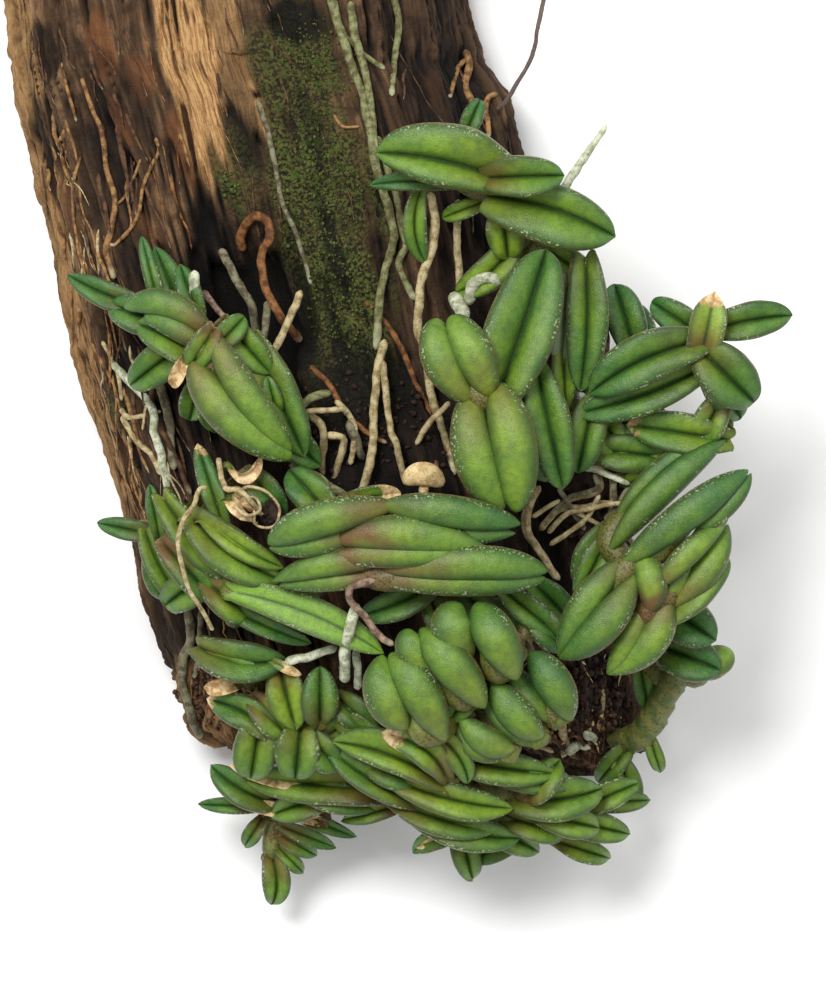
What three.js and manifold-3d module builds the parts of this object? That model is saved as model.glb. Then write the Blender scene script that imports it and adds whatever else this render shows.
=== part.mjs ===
// A creeping miniature orchid on a piece of weathered wood, lying on the wood's flat back.
// Millimetres, +Z up and out of the wood, +Y towards the wood's upper end.
// The origin is the middle of the flat back. Every place is [x, y] or [x, y, z] from there.
import * as THREE from 'three';
import { mergeVertices } from 'three/addons/utils/BufferGeometryUtils.js';
import Module from 'manifold-3d';

const wasm = await Module();
wasm.setup();

// Driving dimensions
const GAP = 0.3; // left free between two pieces that touch
const WOOD_SIDE = 8; // height at which the wood is widest
const WOOD_BACK_INSET = 0.06; // share by which the flat back is narrower than the wood
const WOOD_ROUNDNESS = 2.6; // exponent of the rounded cross-section: 2 is an ellipse
const LEAF_THICKNESS = 2.6;
const LEAF_BASE_WIDTH = 0.45; // share of the full width where the leaf clasps the stem
const LEAF_BLUNTNESS = 2.4; // exponent of the tip's outline: 2 is an ellipse
const LEAF_TIP_THINNING = 0.55; // share of the thickness that is gone at the tip
const STEM_DIAMETER = 4.2;
const SHEATH_DIAMETER = 2.6;
const SHEATH_SHORTEST = 3; // a leaf whose base is nearer to the stem clasps it directly
const ROOT_DIAMETER = 1.8;
const TWIG_DIAMETER = 0.9;
const WELD = 0.001; // corners nearer to each other than this are one
const SLIVER = 0.02; // a facet narrower than this goes into its neighbours
const ROOT_SEAT = 0.45; // from the wood's surface to a root that creeps on it

// Fineness of the facets
const WOOD_STEP = 8;
const WOOD_RING = 16;
const WOOD_END = 80; // beyond this far from the middle, every section in the table is a ring of its own
const STEM_SIDES = 6;
const STEM_SAMPLES = 40;
const ROOT_SIDES = 5;
const STEM_STEP = 6;
const ROOT_STEP = 3.6;
const LEAF_STATIONS = [0, 0.22, 0.5, 0.8, 1];
const SMALL_LEAF_STATIONS = [0, 0.3, 0.75, 1];
const TIP_REACH = 0.51; // a little over half, so that the last ring of a leaf keeps a small width
// Round a leaf: share of the half width, share of the thickness
const LEAF_SECTION = [
  [1, 0.04], [0.55, 0.62], [0, 0.16], [-0.55, 0.62], [-1, 0.04], [-0.55, -0.32], [0, -0.38], [0.55, -0.32],
];
const SMALL_LEAF_SECTION = [[1, 0.04], [0.5, 0.6], [-0.5, 0.6], [-1, 0.04], [-0.45, -0.36], [0.45, -0.36]];

// The wood from its upper end to its crumbled lower end: y, left edge, right edge, height of the crest
const WOOD_SECTIONS = [
  { y: 92, left: -61, right: 26, height: 34 },
  { y: 89, left: -62, right: 27.5, height: 38 },
  { y: 60, left: -58, right: 32.4, height: 40 },
  { y: 48, left: -57.4, right: 35.6, height: 40 },
  { y: 41, left: -57, right: 41, height: 40 },
  { y: 28, left: -54, right: 45, height: 40 },
  { y: 8, left: -49, right: 49, height: 40 },
  { y: -12, left: -45, right: 53, height: 40 },
  { y: -34, left: -38.6, right: 58, height: 40 },
  { y: -49, left: -34, right: 61.4, height: 39 },
  { y: -60, left: -31, right: 63.6, height: 38 },
  { y: -74, left: -26, right: 66.8, height: 34 },
  { y: -80, left: -24.4, right: 68, height: 30 },
  { y: -86, left: -22.5, right: 70, height: 25 },
  { y: -90, left: -14, right: 69, height: 20 },
  { y: -93.5, left: 6, right: 64, height: 15 },
  { y: -96, left: 40, right: 60, height: 11 },
];

// The rotted hollow left of the middle, and the long groove beside the mossy strip
const HOLLOW = { x: -11, y: -4, halfWidth: 13, halfLength: 19, depth: 9 };
const GROOVE = { depth: 1.6, halfWidth: 3, path: [[-12, 50], [-7, 34], [-4, 20], [2, 0], [6, -12]] };

function between(a, b, share) {
  return a + (b - a) * share;
}

function woodSection(y) {
  const last = WOOD_SECTIONS.length - 1;
  if (y >= WOOD_SECTIONS[0].y) return WOOD_SECTIONS[0];
  if (y <= WOOD_SECTIONS[last].y) return WOOD_SECTIONS[last];
  const lower = WOOD_SECTIONS.findIndex((section) => section.y < y);
  const [a, b] = [WOOD_SECTIONS[lower - 1], WOOD_SECTIONS[lower]];
  const share = (a.y - y) / (a.y - b.y);
  return {
    y,
    left: between(a.left, b.left, share),
    right: between(a.right, b.right, share),
    height: between(a.height, b.height, share),
  };
}

// How far the hollow and the groove lie below the rounded surface
function sunken(x, y) {
  const across = (x - HOLLOW.x) / HOLLOW.halfWidth;
  const along = (y - HOLLOW.y) / HOLLOW.halfLength;
  const hollow = HOLLOW.depth * Math.exp(-across * across - along * along);
  const path = GROOVE.path;
  if (y > path[0][1] || y < path.at(-1)[1]) return hollow;
  const next = path.findIndex((point) => point[1] <= y);
  const [a, b] = [path[Math.max(next - 1, 0)], path[Math.max(next, 1)]];
  const middle = between(a[0], b[0], (a[1] - y) / (a[1] - b[1]));
  const off = (x - middle) / GROOVE.halfWidth;
  return hollow + GROOVE.depth * Math.exp(-off * off);
}

// Height of the wood's upper surface above its back
function woodTop(x, y) {
  const section = woodSection(y);
  const half = (section.right - section.left) / 2;
  const across = Math.min(1, Math.abs(x - section.left - half) / half);
  const round = (1 - across ** WOOD_ROUNDNESS) ** (1 / WOOD_ROUNDNESS);
  return WOOD_SIDE + (section.height - WOOD_SIDE) * round - sunken(x, y) * round;
}

// A closed skin over a row of rings that all have the same number of points
function loft(rings) {
  const count = rings[0].length;
  const points = rings.flat();
  const faces = [];
  for (let r = 0; r + 1 < rings.length; r += 1) {
    for (let i = 0; i < count; i += 1) {
      const j = (i + 1) % count;
      const [a, b] = [r * count, (r + 1) * count];
      faces.push(a + i, a + j, b + j, a + i, b + j, b + i);
    }
  }
  for (const [ring, start] of [[rings[0], 0], [rings.at(-1), (rings.length - 1) * count]]) {
    const middle = ring.reduce((sum, p) => sum.add(p), new THREE.Vector3()).divideScalar(count);
    points.push(middle);
    for (let i = 0; i < count; i += 1) {
      const j = (i + 1) % count;
      const centre = points.length - 1;
      if (start === 0) faces.push(centre, start + j, start + i);
      else faces.push(centre, start + i, start + j);
    }
  }
  const geometry = new THREE.BufferGeometry().setFromPoints(points);
  geometry.setIndex(faces);
  return geometry;
}

// A closed geometry as a solid, turned right side out
function solid(geometry) {
  geometry.deleteAttribute('normal');
  geometry.deleteAttribute('uv');
  const merged = mergeVertices(geometry, WELD);
  const make = (indices) => new wasm.Manifold(new wasm.Mesh({
    numProp: 3,
    vertProperties: new Float32Array(merged.attributes.position.array),
    triVerts: new Uint32Array(indices),
  }));
  const indices = Array.from(merged.index.array);
  const made = make(indices);
  return made.volume() > 0 ? made : make(indices.reverse());
}

// The largest of the separate bodies that a cut has left
function largest(body) {
  return body.decompose().reduce((a, b) => (a.volume() >= b.volume() ? a : b));
}

function toGeometry(body) {
  const mesh = body.getMesh();
  const geometry = new THREE.BufferGeometry();
  geometry.setAttribute('position', new THREE.BufferAttribute(new Float32Array(mesh.vertProperties), 3));
  geometry.setIndex(Array.from(mesh.triVerts));
  return geometry;
}

// One whole body again after cuts and joins: slivers taken out, near corners welded, crumbs dropped
function whole(body) {
  const welded = solid(toGeometry(largest(body)));
  return largest(solid(toGeometry(welded.simplify(SLIVER))));
}

function cut(body, others) {
  let left = body;
  for (const other of others) {
    if (overlaps(left.boundingBox(), other.boundingBox())) left = left.subtract(other);
  }
  return whole(left);
}

function overlaps(a, b) {
  return [0, 1, 2].every((axis) => a.min[axis] <= b.max[axis] && b.min[axis] <= a.max[axis]);
}

function woodSolid(extra) {
  const rings = [];
  const [top, bottom] = [WOOD_SECTIONS[0].y, WOOD_SECTIONS.at(-1).y];
  const steps = Math.round((top - bottom) / WOOD_STEP);
  const places = WOOD_SECTIONS.filter((section) => Math.abs(section.y) > WOOD_END).map((s) => s.y);
  for (let i = 1; i < steps; i += 1) {
    const y = top - i * WOOD_STEP;
    if (Math.abs(y) <= WOOD_END) places.push(y);
  }
  places.sort((a, b) => b - a);
  for (const y of places) {
    const section = woodSection(y);
    const half = (section.right - section.left) / 2;
    const middle = section.left + half;
    const stretched = y + (y === top ? extra : 0) - (y === bottom ? extra : 0);
    const ring = [];
    for (let i = 0; i <= WOOD_RING; i += 1) {
      const angle = (Math.PI * i) / WOOD_RING;
      const share = Math.sign(Math.cos(angle)) * Math.abs(Math.cos(angle)) ** (2 / WOOD_ROUNDNESS);
      const x = middle + half * share;
      ring.push(new THREE.Vector3(middle + (half + extra) * share, stretched, woodTop(x, y) + extra));
    }
    const back = half * (1 - WOOD_BACK_INSET) + extra;
    ring.push(new THREE.Vector3(middle - back, stretched, 0));
    ring.push(new THREE.Vector3(middle + back, stretched, 0));
    rings.push(ring);
  }
  return solid(loft(rings));
}

// A round tube along a smooth curve through the points
function tube(points, diameter, sides, step) {
  const curve = smooth(points);
  const section = new THREE.Shape();
  for (let i = 0; i < sides; i += 1) {
    const angle = (2 * Math.PI * i) / sides;
    const [x, y] = [(diameter / 2) * Math.cos(angle), (diameter / 2) * Math.sin(angle)];
    if (i === 0) section.moveTo(x, y);
    else section.lineTo(x, y);
  }
  const steps = Math.max(3, Math.round(curve.getLength() / step));
  return solid(new THREE.ExtrudeGeometry(section, { steps, extrudePath: curve, bevelEnabled: false }));
}

// Share of the full width at a share of the length: narrow where it clasps the stem, blunt at the tip
function leafWidth(along) {
  if (along < 0.5) return between(LEAF_BASE_WIDTH, 1, Math.sin(along * Math.PI));
  return Math.sqrt(1 - ((along - 0.5) / TIP_REACH) ** LEAF_BLUNTNESS);
}

function smooth(points) {
  return new THREE.CatmullRomCurve3(points.map((p) => new THREE.Vector3(...p)), false, 'centripetal');
}

// A fleshy leaf: two puffed halves that meet in a groove along the midrib, and a narrow sheath from the
// blade's base down to the creeping stem. bend curves the blade to the right and arch upward, roll lifts
// its right half, fold lifts both halves.
function leafSolid(leaf, stem, extra) {
  const { name, from, to, wide, bend = 0, arch = 1.5, roll = 0, fold = 12, thick = LEAF_THICKNESS } = leaf;
  const start = new THREE.Vector3(...from);
  const end = new THREE.Vector3(...to);
  const axis = end.clone().sub(start).normalize();
  const right = axis.clone().cross(new THREE.Vector3(0, 0, 1)).normalize();
  const up = right.clone().cross(axis);
  const middle = start.clone().lerp(end, 0.5).addScaledVector(right, 2 * bend).addScaledVector(up, 2 * arch);
  const curve = new THREE.QuadraticBezierCurve3(start, middle, end);
  const section = name ? LEAF_SECTION : SMALL_LEAF_SECTION;
  const rings = (name ? LEAF_STATIONS : SMALL_LEAF_STATIONS).map((along) => {
    const centre = curve.getPoint(along);
    const tangent = curve.getTangent(along);
    if (along === 1) centre.addScaledVector(tangent, extra);
    const turn = THREE.MathUtils.degToRad(roll);
    const side = tangent.clone().cross(up).normalize().applyAxisAngle(tangent, turn);
    const out = side.clone().cross(tangent);
    const half = (wide / 2) * leafWidth(along) + extra;
    const flesh = thick * (1 - LEAF_TIP_THINNING * along ** 5);
    const rise = Math.sin(THREE.MathUtils.degToRad(fold));
    return section.map(([across, height]) => centre.clone()
      .addScaledVector(side, across * half)
      .addScaledVector(out, height * flesh + Math.sign(height) * extra + Math.abs(across) * half * rise));
  });
  const nearest = smooth(stem).getSpacedPoints(STEM_SAMPLES)
    .reduce((a, b) => (a.distanceTo(start) <= b.distanceTo(start) ? a : b));
  const reach = start.clone().sub(nearest);
  if (reach.length() < SHEATH_SHORTEST) return solid(loft(rings));
  const direction = reach.clone().normalize();
  const across = new THREE.Vector3().subVectors(rings[0][0], rings[0][section.length / 2]);
  const side = across.addScaledVector(direction, -across.dot(direction)).normalize();
  const out = side.clone().cross(direction);
  const radius = SHEATH_DIAMETER / 2 + extra;
  rings.unshift(section.map(([x, y]) => {
    const angle = Math.atan2(2 * y, x);
    return nearest.clone()
      .addScaledVector(side, radius * Math.cos(angle))
      .addScaledVector(out, radius * Math.sin(angle));
  }));
  return solid(loft(rings));
}

// The shoots, highest first. stem is the creeping stem's route from the wood outward. A leaf with a
// name is a piece of its own, and the others are joined to their shoot.
const SHOOTS = {
  centre: {
    stem: [[20, -60, 38], [19, -56, 46], [16, -50, 54], [14, -47, 58]],
    leaves: [
      { name: 'centre_leaf_young', from: [12, -47.6, 65.6], to: [36.4, -50.4, 65], wide: 8.4, bend: -0.5, fold: 16 },
      { name: 'centre_leaf_upper_left', from: [19, -42.5, 61], to: [-6, -49, 60], wide: 9, bend: 1.2 },
      { name: 'centre_leaf_upper_right', from: [15, -41.4, 62], to: [44.2, -44.8, 61], wide: 8.6, bend: -1 },
      { name: 'centre_leaf_lower_right', from: [17, -55, 60], to: [49.6, -54.6, 59], wide: 11, bend: -1 },
      { from: [14, -53.6, 58], to: [-5.6, -56, 57], wide: 6.4, bend: -0.6 },
      { from: [27, -56.4, 50], to: [12.4, -63, 49], wide: 6.8, bend: -0.8 },
      { from: [41, -58.4, 50], to: [52.4, -67.6, 49], wide: 6 },
      { from: [47, -57, 44], to: [55, -65, 43], wide: 7 },
      { from: [6, -43, 52], to: [-2, -34, 50], wide: 8 },
    ],
  },
  middle: {
    stem: [[45, -36, 32], [43, -30, 42], [40, -23, 52], [38.5, -20, 58]],
    leaves: [
      { name: 'middle_leaf_upper_left', from: [36.4, -20.6, 66], to: [28, -3.6, 65], wide: 13.4, fold: 6 },
      { name: 'middle_leaf_lower', from: [36, -19.6, 64], to: [43, -42, 63], wide: 15, bend: 0.6, fold: 6 },
      { name: 'middle_leaf_upper_right', from: [39.5, -19, 60], to: [49, 9.4, 58], wide: 14.4, bend: 0.4 },
      { name: 'middle_leaf_lower_right', from: [47.4, -15, 57], to: [52.4, -37.4, 55], wide: 9.4 },
    ],
  },
  side: {
    stem: [[56, -33, 26], [56, -27, 36], [53.6, -17, 46], [53, -8, 50]],
    leaves: [
      { name: 'side_leaf_upper', from: [57, 7.6, 53], to: [56, -18, 52], wide: 8.6, bend: -0.8 },
      { from: [58.6, -20.4, 50], to: [55.4, -34.4, 49], wide: 8 },
      { from: [67, -10, 45], to: [63, 3, 44], wide: 8 },
    ],
  },
  top: {
    stem: [[45.5, -6, 29], [47, 4, 38], [44.5, 12, 46], [41.8, 18, 51], [40.4, 21, 53]],
    leaves: [
      { name: 'top_leaf_young', from: [38, 24, 62], to: [52.4, 24.4, 64], wide: 8.2, fold: 24 },
      { name: 'top_leaf_left', from: [41, 23.4, 59], to: [15.6, 29, 60], wide: 12.8, bend: 1.2 },
      { name: 'top_leaf_right', from: [38.6, 20.6, 57], to: [62.5, 12.6, 58], wide: 12.6, bend: -1.2 },
      { from: [43, 12, 47], to: [31.4, 1.6, 45], wide: 7, bend: -1.6 },
      { from: [24, 21.6, 49], to: [25, 7.6, 46], wide: 4.8, bend: 1.6 },
      { from: [30, 23, 53], to: [14.2, 22.8, 52], wide: 4, bend: 0.6 },
      { from: [50, 9.6, 48], to: [58.4, 3.8, 47], wide: 6.4 },
    ],
  },
  front: {
    stem: [[30, -84, 33], [33, -82, 42], [38, -77, 48], [45, -69, 50]],
    leaves: [
      { name: 'front_leaf_1', from: [26.6, -87.6, 57], to: [17.2, -70.6, 58], wide: 14.4, fold: 4 },
      { name: 'front_leaf_2', from: [35, -81, 60], to: [23.2, -65.8, 61], wide: 13, fold: 4 },
      { name: 'front_leaf_3', from: [43, -75.8, 62], to: [33.6, -60.6, 63], wide: 14, fold: 4 },
      { name: 'front_leaf_4', from: [37, -73.6, 54], to: [49, -87.6, 54], wide: 9, fold: 4 },
      { name: 'front_leaf_5', from: [44, -69, 54], to: [54.4, -83.6, 54], wide: 10, fold: 4 },
      { name: 'front_leaf_6', from: [31, -82.6, 52], to: [43.2, -90.4, 52], wide: 7.6, fold: 4 },
    ],
  },
  outer: {
    stem: [[59, -68, 32], [63, -65, 40], [67, -60, 47], [68, -55, 51]],
    leaves: [
      { name: 'outer_leaf_1', from: [71, -57, 56], to: [85.6, -42.6, 54], wide: 9.4, bend: 1 },
      { name: 'outer_leaf_2', from: [67, -53, 57], to: [51.6, -72, 55], wide: 11.6, bend: -0.6 },
      { name: 'outer_leaf_3', from: [63, -53, 54], to: [90, -34.6, 55], wide: 9.6, bend: -1 },
      { name: 'outer_leaf_4', from: [73.6, -58, 53], to: [61, -75, 51], wide: 9 },
      { from: [61, -50, 49], to: [86.6, -28, 49], wide: 9, bend: -0.6 },
      { from: [73, -63, 52], to: [85, -51, 51], wide: 9 },
      { from: [63, -47, 46], to: [56, -61, 45], wide: 6.4, bend: 1 },
    ],
  },
  right: {
    stem: [[61, -38, 25], [67, -35, 34], [76, -31, 42], [83, -26, 46], [84, -19, 49], [80, -11, 52]],
    leaves: [
      { name: 'right_leaf_1', from: [79, -8.6, 58], to: [58, -18.6, 56], wide: 10.4, bend: 1.4 },
      { name: 'right_leaf_2', from: [80, -14, 54], to: [56, -22.6, 52], wide: 8.4, bend: -0.8 },
      { name: 'right_leaf_3', from: [80, -10.4, 57], to: [90.4, -20.4, 55], wide: 11 },
      { name: 'right_leaf_4', from: [82, -6, 55], to: [98, -3.2, 53], wide: 7.6, bend: -0.4 },
      { from: [80, -7, 52], to: [70.4, -0.6, 50], wide: 6.6 },
      { from: [85, -28, 50], to: [65.6, -25, 49], wide: 8.4 },
      { from: [59, -30, 46], to: [73, -31.4, 45], wide: 8 },
    ],
  },
  edge: {
    stem: [[64, -89, 19], [69, -87, 25], [74, -78, 32], [79, -71, 37]],
    leaves: [
      { from: [74, -62, 40], to: [83, -68, 46], wide: 10 },
      { from: [68, -72, 30], to: [70, -82, 27], wide: 4.6 },
      { from: [74, -70, 37], to: [84, -74, 41], wide: 9.4 },
      { from: [78, -72, 37], to: [86, -69, 39], wide: 6 },
      { from: [64, -92, 22], to: [67.4, -101, 18], wide: 6 },
      { from: [70, -87, 25], to: [72.6, -95, 21], wide: 3.4 },
    ],
  },
  left: {
    stem: [[-15, -18, 34], [-17, -13, 43], [-18.4, -9, 51], [-18, -7, 55]],
    leaves: [
      { name: 'left_leaf_lower_right', from: [-19.4, -8, 58], to: [-0.6, -31.6, 55], wide: 14.6, bend: 2.4 },
      { name: 'left_leaf_upper_left', from: [-17.8, -8.4, 54], to: [-35.4, -2, 52], wide: 8.6, bend: 1 },
      { from: [-18, -11.4, 51], to: [-32.4, -6, 49], wide: 7 },
      { name: 'left_leaf_inner', from: [-9, -9, 51], to: [0.8, -31, 50], wide: 7.4 },
      { from: [-30, -2, 44], to: [-46.4, 5, 42], wide: 5.6, bend: -0.6 },
      { from: [-28, -2, 47], to: [-31.6, 12.6, 46], wide: 3.4 },
      { from: [-23, -4, 45], to: [-29, 10.6, 43], wide: 6 },
      { from: [-22, -8, 46], to: [-34, -17, 42], wide: 8 },
      { from: [-18, -14, 48], to: [-17, -26.4, 44], wide: 6.4 },
    ],
  },
  low_left: {
    stem: [[-13, -64, 33], [-15, -58, 41], [-19, -51, 45], [-24, -45, 45]],
    leaves: [
      { name: 'low_leaf_light', from: [-11, -58, 52], to: [16.4, -70.4, 50], wide: 7.2, bend: -1.6, fold: 2, thick: 2 },
      { name: 'low_leaf_wide', from: [-21, -44, 53], to: [-4, -56, 52], wide: 9.6, bend: 1 },
      { from: [-27, -40, 49], to: [-8, -56.6, 47], wide: 8, bend: 2 },
      { from: [-29, -47, 41], to: [-40.6, -44.6, 39], wide: 4.6 },
      { from: [-31, -46, 42], to: [-22, -62, 41], wide: 6, bend: 1 },
      { from: [-28, -48, 46], to: [-30, -37, 47], wide: 3.4 },
      { from: [-15, -46, 50], to: [-20.4, -29, 48], wide: 4.8 },
      { from: [-17, -60, 46], to: [2, -68.6, 46], wide: 4.4, bend: 0.6 },
      { from: [-16, -53, 47], to: [-27, -61, 42], wide: 8 },
    ],
  },
  corner: {
    stem: [[-7, -74, 32], [-5, -79, 34], [-3, -84, 33], [2, -90, 31]],
    leaves: [
      { from: [-20, -69.6, 42], to: [-3, -72, 43], wide: 8.4, bend: 1.6 },
      { from: [4, -84, 41], to: [4, -73.4, 44], wide: 8 },
      { from: [-5, -87, 38], to: [-18.6, -80, 36], wide: 7, bend: 1 },
      { from: [-8, -84, 37], to: [-10, -96, 33], wide: 9 },
      { from: [0, -86, 38], to: [-1, -95.6, 36], wide: 9.4 },
    ],
  },
  bottom: {
    stem: [[10, -90, 24], [18, -94, 31], [30, -97.4, 36], [44, -98.6, 34], [58, -100, 26]],
    leaves: [
      { name: 'bottom_leaf_1', from: [28.6, -96.4, 44], to: [6.6, -88.4, 43], wide: 7.6, bend: 1.4 },
      { name: 'bottom_leaf_2', from: [29, -90.6, 43], to: [51.4, -94.8, 42], wide: 7.6, bend: 0.8 },
      { name: 'bottom_leaf_3', from: [20, -96.6, 41], to: [42.4, -101.8, 39], wide: 7.4, bend: 1 },
      { from: [23, -100.6, 37], to: [4.6, -88.8, 38], wide: 6, bend: -1 },
      { from: [20, -101, 36], to: [39.6, -106, 34], wide: 7, bend: 1 },
      { from: [44, -100, 36], to: [60.4, -98, 34], wide: 9.4, bend: 1 },
      { from: [42, -104, 31], to: [54, -107, 28], wide: 7 },
      { from: [52, -104, 27], to: [66.2, -107.4, 24], wide: 6.6 },
      { from: [57, -101, 24], to: [70.4, -100.6, 21], wide: 5 },
      { from: [33, -107, 26], to: [22.6, -111, 24], wide: 4.6, bend: 1 },
      { from: [32, -106, 24], to: [34.6, -116.6, 21], wide: 6 },
      { from: [46, -106, 25], to: [34, -113, 22], wide: 6 },
    ],
  },
  hanging: {
    stem: [[11, -89, 19], [4, -96, 19], [-5, -105, 14], [-6, -113, 12]],
    leaves: [
      { from: [-6, -101, 20], to: [-18.2, -93.6, 20], wide: 6.6, bend: -1 },
      { from: [-8, -102, 17], to: [-20.8, -101.6, 15], wide: 3.6 },
      { from: [0, -98, 25], to: [16, -102, 25], wide: 7 },
      { from: [20, -101.6, 25], to: [8.4, -104.6, 21], wide: 4.4 },
      { from: [-4, -106, 16], to: [7, -110.4, 14], wide: 3.6 },
      { from: [-2, -103, 18], to: [11, -108.2, 16], wide: 3.4 },
      { from: [-5, -110, 13], to: [0.4, -115.6, 11], wide: 3.4 },
      { from: [-6, -112, 12], to: [-6, -122, 9], wide: 6, bend: -1 },
    ],
  },
};

// Aerial roots. A height of 'wood' lets the root creep on the wood's surface there, and a number is
// a height above the back. Where a root has more than one route, they are branches of one root.
const WOOD = 'wood';
const ROOTS = {
  twin_roots: [
    [[5.8, 62, WOOD], [9, 51, WOOD], [12.2, 41.6, WOOD], [13.8, 34.8, WOOD], [15.4, 26.2, WOOD],
      [17.6, 19, WOOD], [18.6, 12, WOOD], [17, 6, WOOD], [16, 0, WOOD], [15.2, -10, WOOD]],
    [[10, 60, WOOD], [11, 53.2, WOOD], [12.6, 46.8, WOOD], [14.2, 37.8, WOOD], [15, 30, WOOD]],
  ],
  long_cream_root: [
    [[26, 21.4, 50], [27, 15, 48], [26, 9, 46], [24.4, 4, 45], [23.6, -6, 43], [25, -10, 42.4],
      [26.6, -20, WOOD], [29.4, -29, WOOD], [31, -35, WOOD]],
  ],
  white_tip_root: [[[45, 13, 47], [50, 18, 51], [54.4, 24.4, 53], [58, 30, 54], [61.2, 34.6, 55]]],
  orange_root: [
    [[12.8, -0.2, WOOD], [18.4, -6.4, WOOD], [23, -16, WOOD], [25.6, -21, WOOD], [27.6, -36, WOOD]],
  ],
  branching_root: [
    [[-44, 44.8, WOOD], [-41.6, 38, WOOD], [-39.8, 33.6, WOOD], [-39, 27.4, WOOD], [-37.4, 21, WOOD],
      [-38.2, 14.2, WOOD], [-39, 10, WOOD], [-37.4, 4.4, WOOD]],
    [[-32, 28.4, WOOD], [-34.8, 22, WOOD], [-37.6, 18.6, WOOD]],
    [[-29, 32.6, WOOD], [-28.4, 29.4, WOOD], [-31.6, 23.6, WOOD], [-32.8, 16.8, WOOD], [-36.8, 11.6, WOOD],
      [-38.6, 11.4, WOOD]],
  ],
  curled_root: [
    [[-11.6, 10, 34], [-12, 13.2, 37], [-9.4, 16.8, 40], [-6.8, 16.2, 42], [-6.2, 12.6, 42], [-7.8, 9, 41],
      [-6.8, 2, 41], [-3.4, -4, 41], [0, -8, WOOD]],
  ],
  left_edge_root: [
    [[-38, -12.4, WOOD], [-35, -15.6, WOOD], [-30, -21, WOOD], [-29.6, -26, WOOD], [-28, -31, WOOD],
      [-27, -36, WOOD], [-26, -43, WOOD]],
  ],
  forked_cream_root: [
    [[17, -7.8, 43], [15.2, -15.8, 43], [14.6, -25.2, 43], [13.6, -34.2, 42.6], [11.8, -39.4, WOOD]],
    [[16.6, -12, 43], [17.8, -24.8, 42.6], [19.4, -29.6, 42.4], [21, -36.2, WOOD]],
  ],
  pinkish_root: [
    [[16, -55.4, 60.6], [13, -56.4, 61.6], [10.2, -57.4, 62], [10, -60, 60], [13, -63, 58], [16, -67, 57],
      [18.8, -68.8, 58.6]],
  ],
  white_root: [[[11, -62.4, 46], [9.6, -67, 45], [9, -72, 43], [9, -76, WOOD]]],
  right_roots: [
    [[56, -29, 34], [57, -33, 40], [61, -34.6, 42], [65.6, -36, 39]],
    [[59.4, -34.4, 41.6], [59.6, -38, 40], [53, -40, 39]],
    [[62.4, -34.8, 41.6], [62.4, -40, 39], [62, -43, 34]],
    [[48, -46, 37], [52, -42, 39], [58, -41.2, 39.6], [65, -40.6, 38]],
    [[47, -37, 40], [45.6, -42, 40], [45.4, -46, 39], [49, -52, 38], [51.6, -56, 37]],
  ],
};

const TWIG = [
  [38, 38, 20], [41.4, 40.4, 24], [44, 44.8, 27], [46.4, 49.2, 29], [48.6, 58, 32], [49, 64, 33], [48.6, 72, 34],
];

const COLOURS = {
  wood: 0x5c4630, leaf: 0x5f8a3c, shoot: 0x6d7a3a, root: 0xc9b892, twig: 0x5b4b45,
};
const ROUGHNESS = { wood: 0.95, leaf: 0.5, shoot: 0.6, root: 0.8, twig: 0.8 };

const plant = new THREE.Group();

function place(name, kind, body) {
  const geometry = toGeometry(body);
  geometry.computeVertexNormals();
  const material = new THREE.MeshStandardMaterial({ color: COLOURS[kind], roughness: ROUGHNESS[kind] });
  const made = new THREE.Mesh(geometry, material);
  made.name = name;
  plant.add(made);
}

const wood = woodSolid(0);
place('wood', 'wood', wood);
const taken = [woodSolid(GAP)]; // what the pieces made so far keep free, each with its gap

// Every stem first, so that leaves and roots give way to all of them
const stems = {};
for (const [shoot, { stem }] of Object.entries(SHOOTS)) {
  stems[shoot] = cut(tube(stem, STEM_DIAMETER, STEM_SIDES, STEM_STEP), taken);
  stems[`${shoot} room`] = tube(stem, STEM_DIAMETER + 2 * GAP, STEM_SIDES, STEM_STEP);
}
const stemRooms = (without) => Object.keys(SHOOTS)
  .filter((shoot) => shoot !== without)
  .map((shoot) => stems[`${shoot} room`]);

// Leaves with a name of their own, each cut back where a higher one covers it
for (const { stem, leaves } of Object.values(SHOOTS)) {
  for (const leaf of leaves.filter((one) => one.name)) {
    const body = cut(leafSolid(leaf, stem, 0), [...taken, ...stemRooms()]);
    place(leaf.name, 'leaf', body);
    taken.push(leafSolid(leaf, stem, GAP), body);
  }
}

// Each shoot: its stem and the small leaves that are part of it
for (const [shoot, { stem, leaves }] of Object.entries(SHOOTS)) {
  let body = stems[shoot];
  const others = [...taken, ...stemRooms(shoot)];
  const rooms = [stems[`${shoot} room`]];
  for (const leaf of leaves.filter((one) => !one.name)) {
    body = body.add(cut(leafSolid(leaf, stem, 0), others));
    rooms.push(leafSolid(leaf, stem, GAP));
  }
  body = whole(body);
  place(`${shoot}_shoot`, 'shoot', body);
  taken.push(...rooms, body);
}

for (const [name, branches] of Object.entries(ROOTS)) {
  const routes = branches.map((points) => points.map(([x, y, z]) => (
    [x, y, z === WOOD ? woodTop(x, y) + ROOT_DIAMETER / 2 + ROOT_SEAT : z]
  )));
  const tubes = (diameter) => routes.map((route) => tube(route, diameter, ROOT_SIDES, ROOT_STEP));
  const body = cut(tubes(ROOT_DIAMETER).reduce((a, b) => a.add(b)), taken);
  place(name, 'root', body);
  taken.push(...tubes(ROOT_DIAMETER + 2 * GAP));
}

place('dry_twig', 'twig', cut(tube(TWIG, TWIG_DIAMETER, ROOT_SIDES, ROOT_STEP), taken));

export default plant;
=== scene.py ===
import bpy
import bmesh
import math
import numpy as np
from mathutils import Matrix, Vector
from mathutils.bvhtree import BVHTree


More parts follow.
